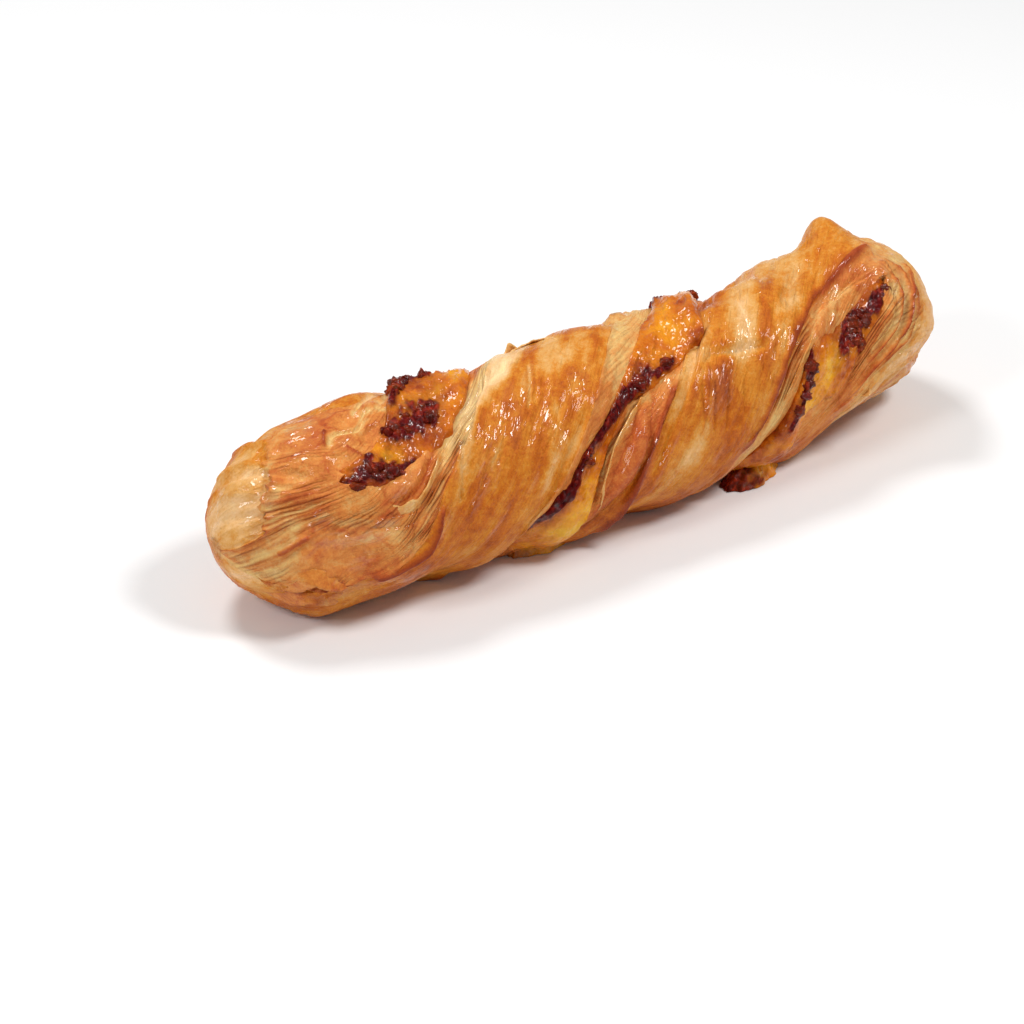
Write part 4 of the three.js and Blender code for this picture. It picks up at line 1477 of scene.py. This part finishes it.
def soften(n, radius, scale):
    """Lets a little light through the surface."""
    n.set("Subsurface Weight", LIGHT_THROUGH)
    n.set("Subsurface Radius", radius)
    n.set("Subsurface Scale", scale)


def pastry_material():
    """Glazed golden skin and drier, finely lined leaves, with painted shade in creases and in the gaps
    between leaves.
    """
    n = Nodes("pastry_crust")
    skin, bake_and_shade, leafy = n.stored("skin"), n.stored("bake_and_shade"), n.stored("leafy")
    crevice_shade, gloss, wet = n.stored("crevice_shade"), n.stored("gloss"), n.stored("wet")
    strip = n.stored("strip", "Vector")
    place = n.position()
    lines = n.times(leaf_lines(n, strip), leafy)
    leaves = n.noise(n.scaled(strip, (0.04, 0.0, 0.75)), 1.0, 1.0)
    grain = n.noise(place, 1500.0, 3.0, 0.7)
    mottle = n.noise(place, 340.0, 4.0, 0.65)
    drops = n.noise(n.scaled(strip, (0.22, 0.5, 0.0)), 1.0, 1.0, 0.4)
    streaks = n.times(n.noise(n.scaled(strip, (0.10, 0.95, 0.0)), 1.0, 2.0), skin)

    tone = n.plus(bake_and_shade, n.swing(leaves, n.times(leafy, LEAF_TINTS)))
    tone = n.plus(tone, n.plus(n.swing(mottle, SPOTS), n.swing(grain, SPECKS)))
    tone = n.fit(n.fit(skin, -0.5, streaks), STREAKS, tone)
    colour = n.mix(skin, n.ramp(tone, LEAF_COLOURS), n.ramp(tone, SKIN_COLOURS))
    # Painted shade in crease bottoms and in the thin lines between leaves darkens the colour
    dark = n.math("MAXIMUM", n.times(crevice_shade, CREVICE_SHADE_DARK), n.times(lines, LINE_SHADE))
    n.set("Base Color", n.mix(dark, colour, linear(CREVICE_SHADE_COLOUR)))

    rough = n.fit(gloss, -0.12, n.fit(skin, -0.06, 0.46))
    n.set("Roughness", n.math("MAXIMUM", rough, 0.25))
    n.set("Specular IOR Level", CRUST_SHINE)
    glaze = n.fit(skin, 0.08, n.fit(gloss, 0.4, 0.08))
    n.set("Coat Weight", n.clamped(n.fit(wet, 0.9, glaze)))
    n.set("Coat Roughness", COAT_ROUGHNESS)

    height = n.fit(lines, -0.55, n.times(mottle, 0.8))
    height = n.fit(streaks, -0.5, n.fit(grain, 0.3, height))
    n.set("Normal", n.bump(height, CRUST_BUMP))
    film = n.times(drops, n.fit(wet, 0.7, 0.3))
    n.set("Coat Normal", n.bump(film, GLAZE_BUMP))
    soften(n, (1.0, 0.5, 0.25), 0.001)
    return n.material


def cheese_material():
    """Melted orange cheese, browned and caramelised dark in places."""
    n = Nodes("baked_cheese")
    dark, yellow = n.stored("dark"), n.stored("yellow")
    place = n.position()
    clouds = n.noise(place, 130.0, 4.0, 0.6)
    grain = n.noise(place, 700.0, 3.0)
    drops = n.noise(place, 420.0, 1.0, 0.4)

    cheese = n.ramp(n.fit(yellow, 0.45, n.fit(clouds, 1.8, -0.65)), CHEESE_COLOURS)
    crisp = n.ramp(n.fit(grain, 0.6, n.times(clouds, 0.4)), CRISP_COLOURS)
    n.set("Base Color", n.mix(dark, cheese, crisp))

    n.set("Roughness", n.plus(n.swing(grain, 0.12), n.fit(dark, -0.04, 0.34)))
    n.set("Specular IOR Level", CHEESE_SHINE)
    glossy = n.clamped(n.fit(n.noise(place, 330.0, 2.0), 8.0, -3.9))
    n.set("Coat Weight", n.fit(n.math("SUBTRACT", glossy, 0.6), dark, 0.6))
    n.set("Coat Roughness", COAT_ROUGHNESS)

    n.set("Normal", n.bump(n.fit(clouds, 0.5, grain), CHEESE_BUMP, 0.9))
    n.set("Coat Normal", n.bump(drops, OIL_BUMP))
    soften(n, (1.0, 0.5, 0.2), 0.002)
    return n.material


# The studio

CAMERA_AZIMUTH = -32.79
CAMERA_ELEVATION = 33.0
CAMERA_DISTANCE = 950.0
CAMERA_TARGET = (0.0, 0.0, 24.0)
PIXELS_PER_MM = 3.62
IMAGE_SIZE = 1024
TARGET_PIXEL = (587.54, 423.79)
SENSOR_WIDTH = 36.0

# In metres and watts: name, place and power of each light
LIGHTS = [
    ("right_light", (0.38, -0.38, 0.80), 4.9),
    ("back_light", (-0.10, 0.45, 0.80), 3.8),
    ("left_light", (-0.70, -0.10, 0.60), 2.6),
]
LIGHT_SIZE = 0.26
ROOM_LIGHT = 0.24
FLOOR_REACH = 3.0
FLOOR_COLOUR = (0.9, 0.9, 0.9, 1.0)
FLOOR_ROUGHNESS = 0.8


def make_camera():
    """A camera at the photograph's viewing angle, looking level with its own axes."""
    azimuth, elevation = math.radians(CAMERA_AZIMUTH), math.radians(CAMERA_ELEVATION)
    flat = math.cos(elevation)
    back = Vector((math.sin(azimuth) * flat, -math.cos(azimuth) * flat, math.sin(elevation)))
    right = Vector((math.cos(azimuth), math.sin(azimuth), 0.0))
    up = back.cross(right)
    middle = IMAGE_SIZE / 2
    place = Vector(CAMERA_TARGET) + back * CAMERA_DISTANCE
    place -= right * (TARGET_PIXEL[0] - middle) / PIXELS_PER_MM
    place += up * (TARGET_PIXEL[1] - middle) / PIXELS_PER_MM
    data = bpy.data.cameras.new("camera")
    data.sensor_width = SENSOR_WIDTH
    data.lens = SENSOR_WIDTH * PIXELS_PER_MM * CAMERA_DISTANCE / IMAGE_SIZE
    camera = bpy.data.objects.new("camera", data)
    turned = Matrix((right, up, back)).transposed().to_4x4()
    camera.matrix_world = Matrix.Translation(place * MM) @ turned
    bpy.context.scene.collection.objects.link(camera)
    bpy.context.scene.camera = camera


def make_light(name, place, power):
    """A soft round light that faces the twist."""
    data = bpy.data.lights.new(name, "AREA")
    data.shape = "DISK"
    data.size = LIGHT_SIZE
    data.energy = power
    light = bpy.data.objects.new(name, data)
    light.location = place
    light.rotation_euler = Vector(place).to_track_quat("Z", "Y").to_euler()
    bpy.context.scene.collection.objects.link(light)


def make_room():
    """A bright white room all round."""
    world = bpy.data.worlds.new("room")
    world.use_nodes = True
    background = world.node_tree.nodes["Background"]
    background.inputs["Color"].default_value = (1.0, 1.0, 1.0, 1.0)
    background.inputs["Strength"].default_value = ROOM_LIGHT
    bpy.context.scene.world = world
    bpy.context.scene.view_settings.view_transform = "Standard"


def make_floor():
    """A plain pale floor."""
    mesh = bpy.data.meshes.new("floor")
    corners = [(-1, -1, 0), (1, -1, 0), (1, 1, 0), (-1, 1, 0)]
    mesh.from_pydata([Vector(corner) * FLOOR_REACH for corner in corners], [], [(0, 1, 2, 3)])
    n = Nodes("floor_paper")
    n.set("Base Color", FLOOR_COLOUR)
    n.set("Roughness", FLOOR_ROUGHNESS)
    mesh.materials.append(n.material)
    floor = bpy.data.objects.new("floor", mesh)
    bpy.context.scene.collection.objects.link(floor)


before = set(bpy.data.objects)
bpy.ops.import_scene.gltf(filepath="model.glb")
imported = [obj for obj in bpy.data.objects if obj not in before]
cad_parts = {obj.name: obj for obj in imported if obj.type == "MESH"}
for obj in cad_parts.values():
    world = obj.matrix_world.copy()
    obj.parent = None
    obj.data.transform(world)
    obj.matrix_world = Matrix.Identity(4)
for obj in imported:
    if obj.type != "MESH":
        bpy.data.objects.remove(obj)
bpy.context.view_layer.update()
make_camera()
make_room()
make_floor()
for light in LIGHTS:
    make_light(*light)
crust = pastry_material()
cheese = cheese_material()
make_sheet("pastry_sheet_1", 1, crust)
make_sheet("pastry_sheet_2", -1, crust)
make_flakes(crust)
make_cheese(cheese)
make_bits(cheese)
make_runs(cheese)
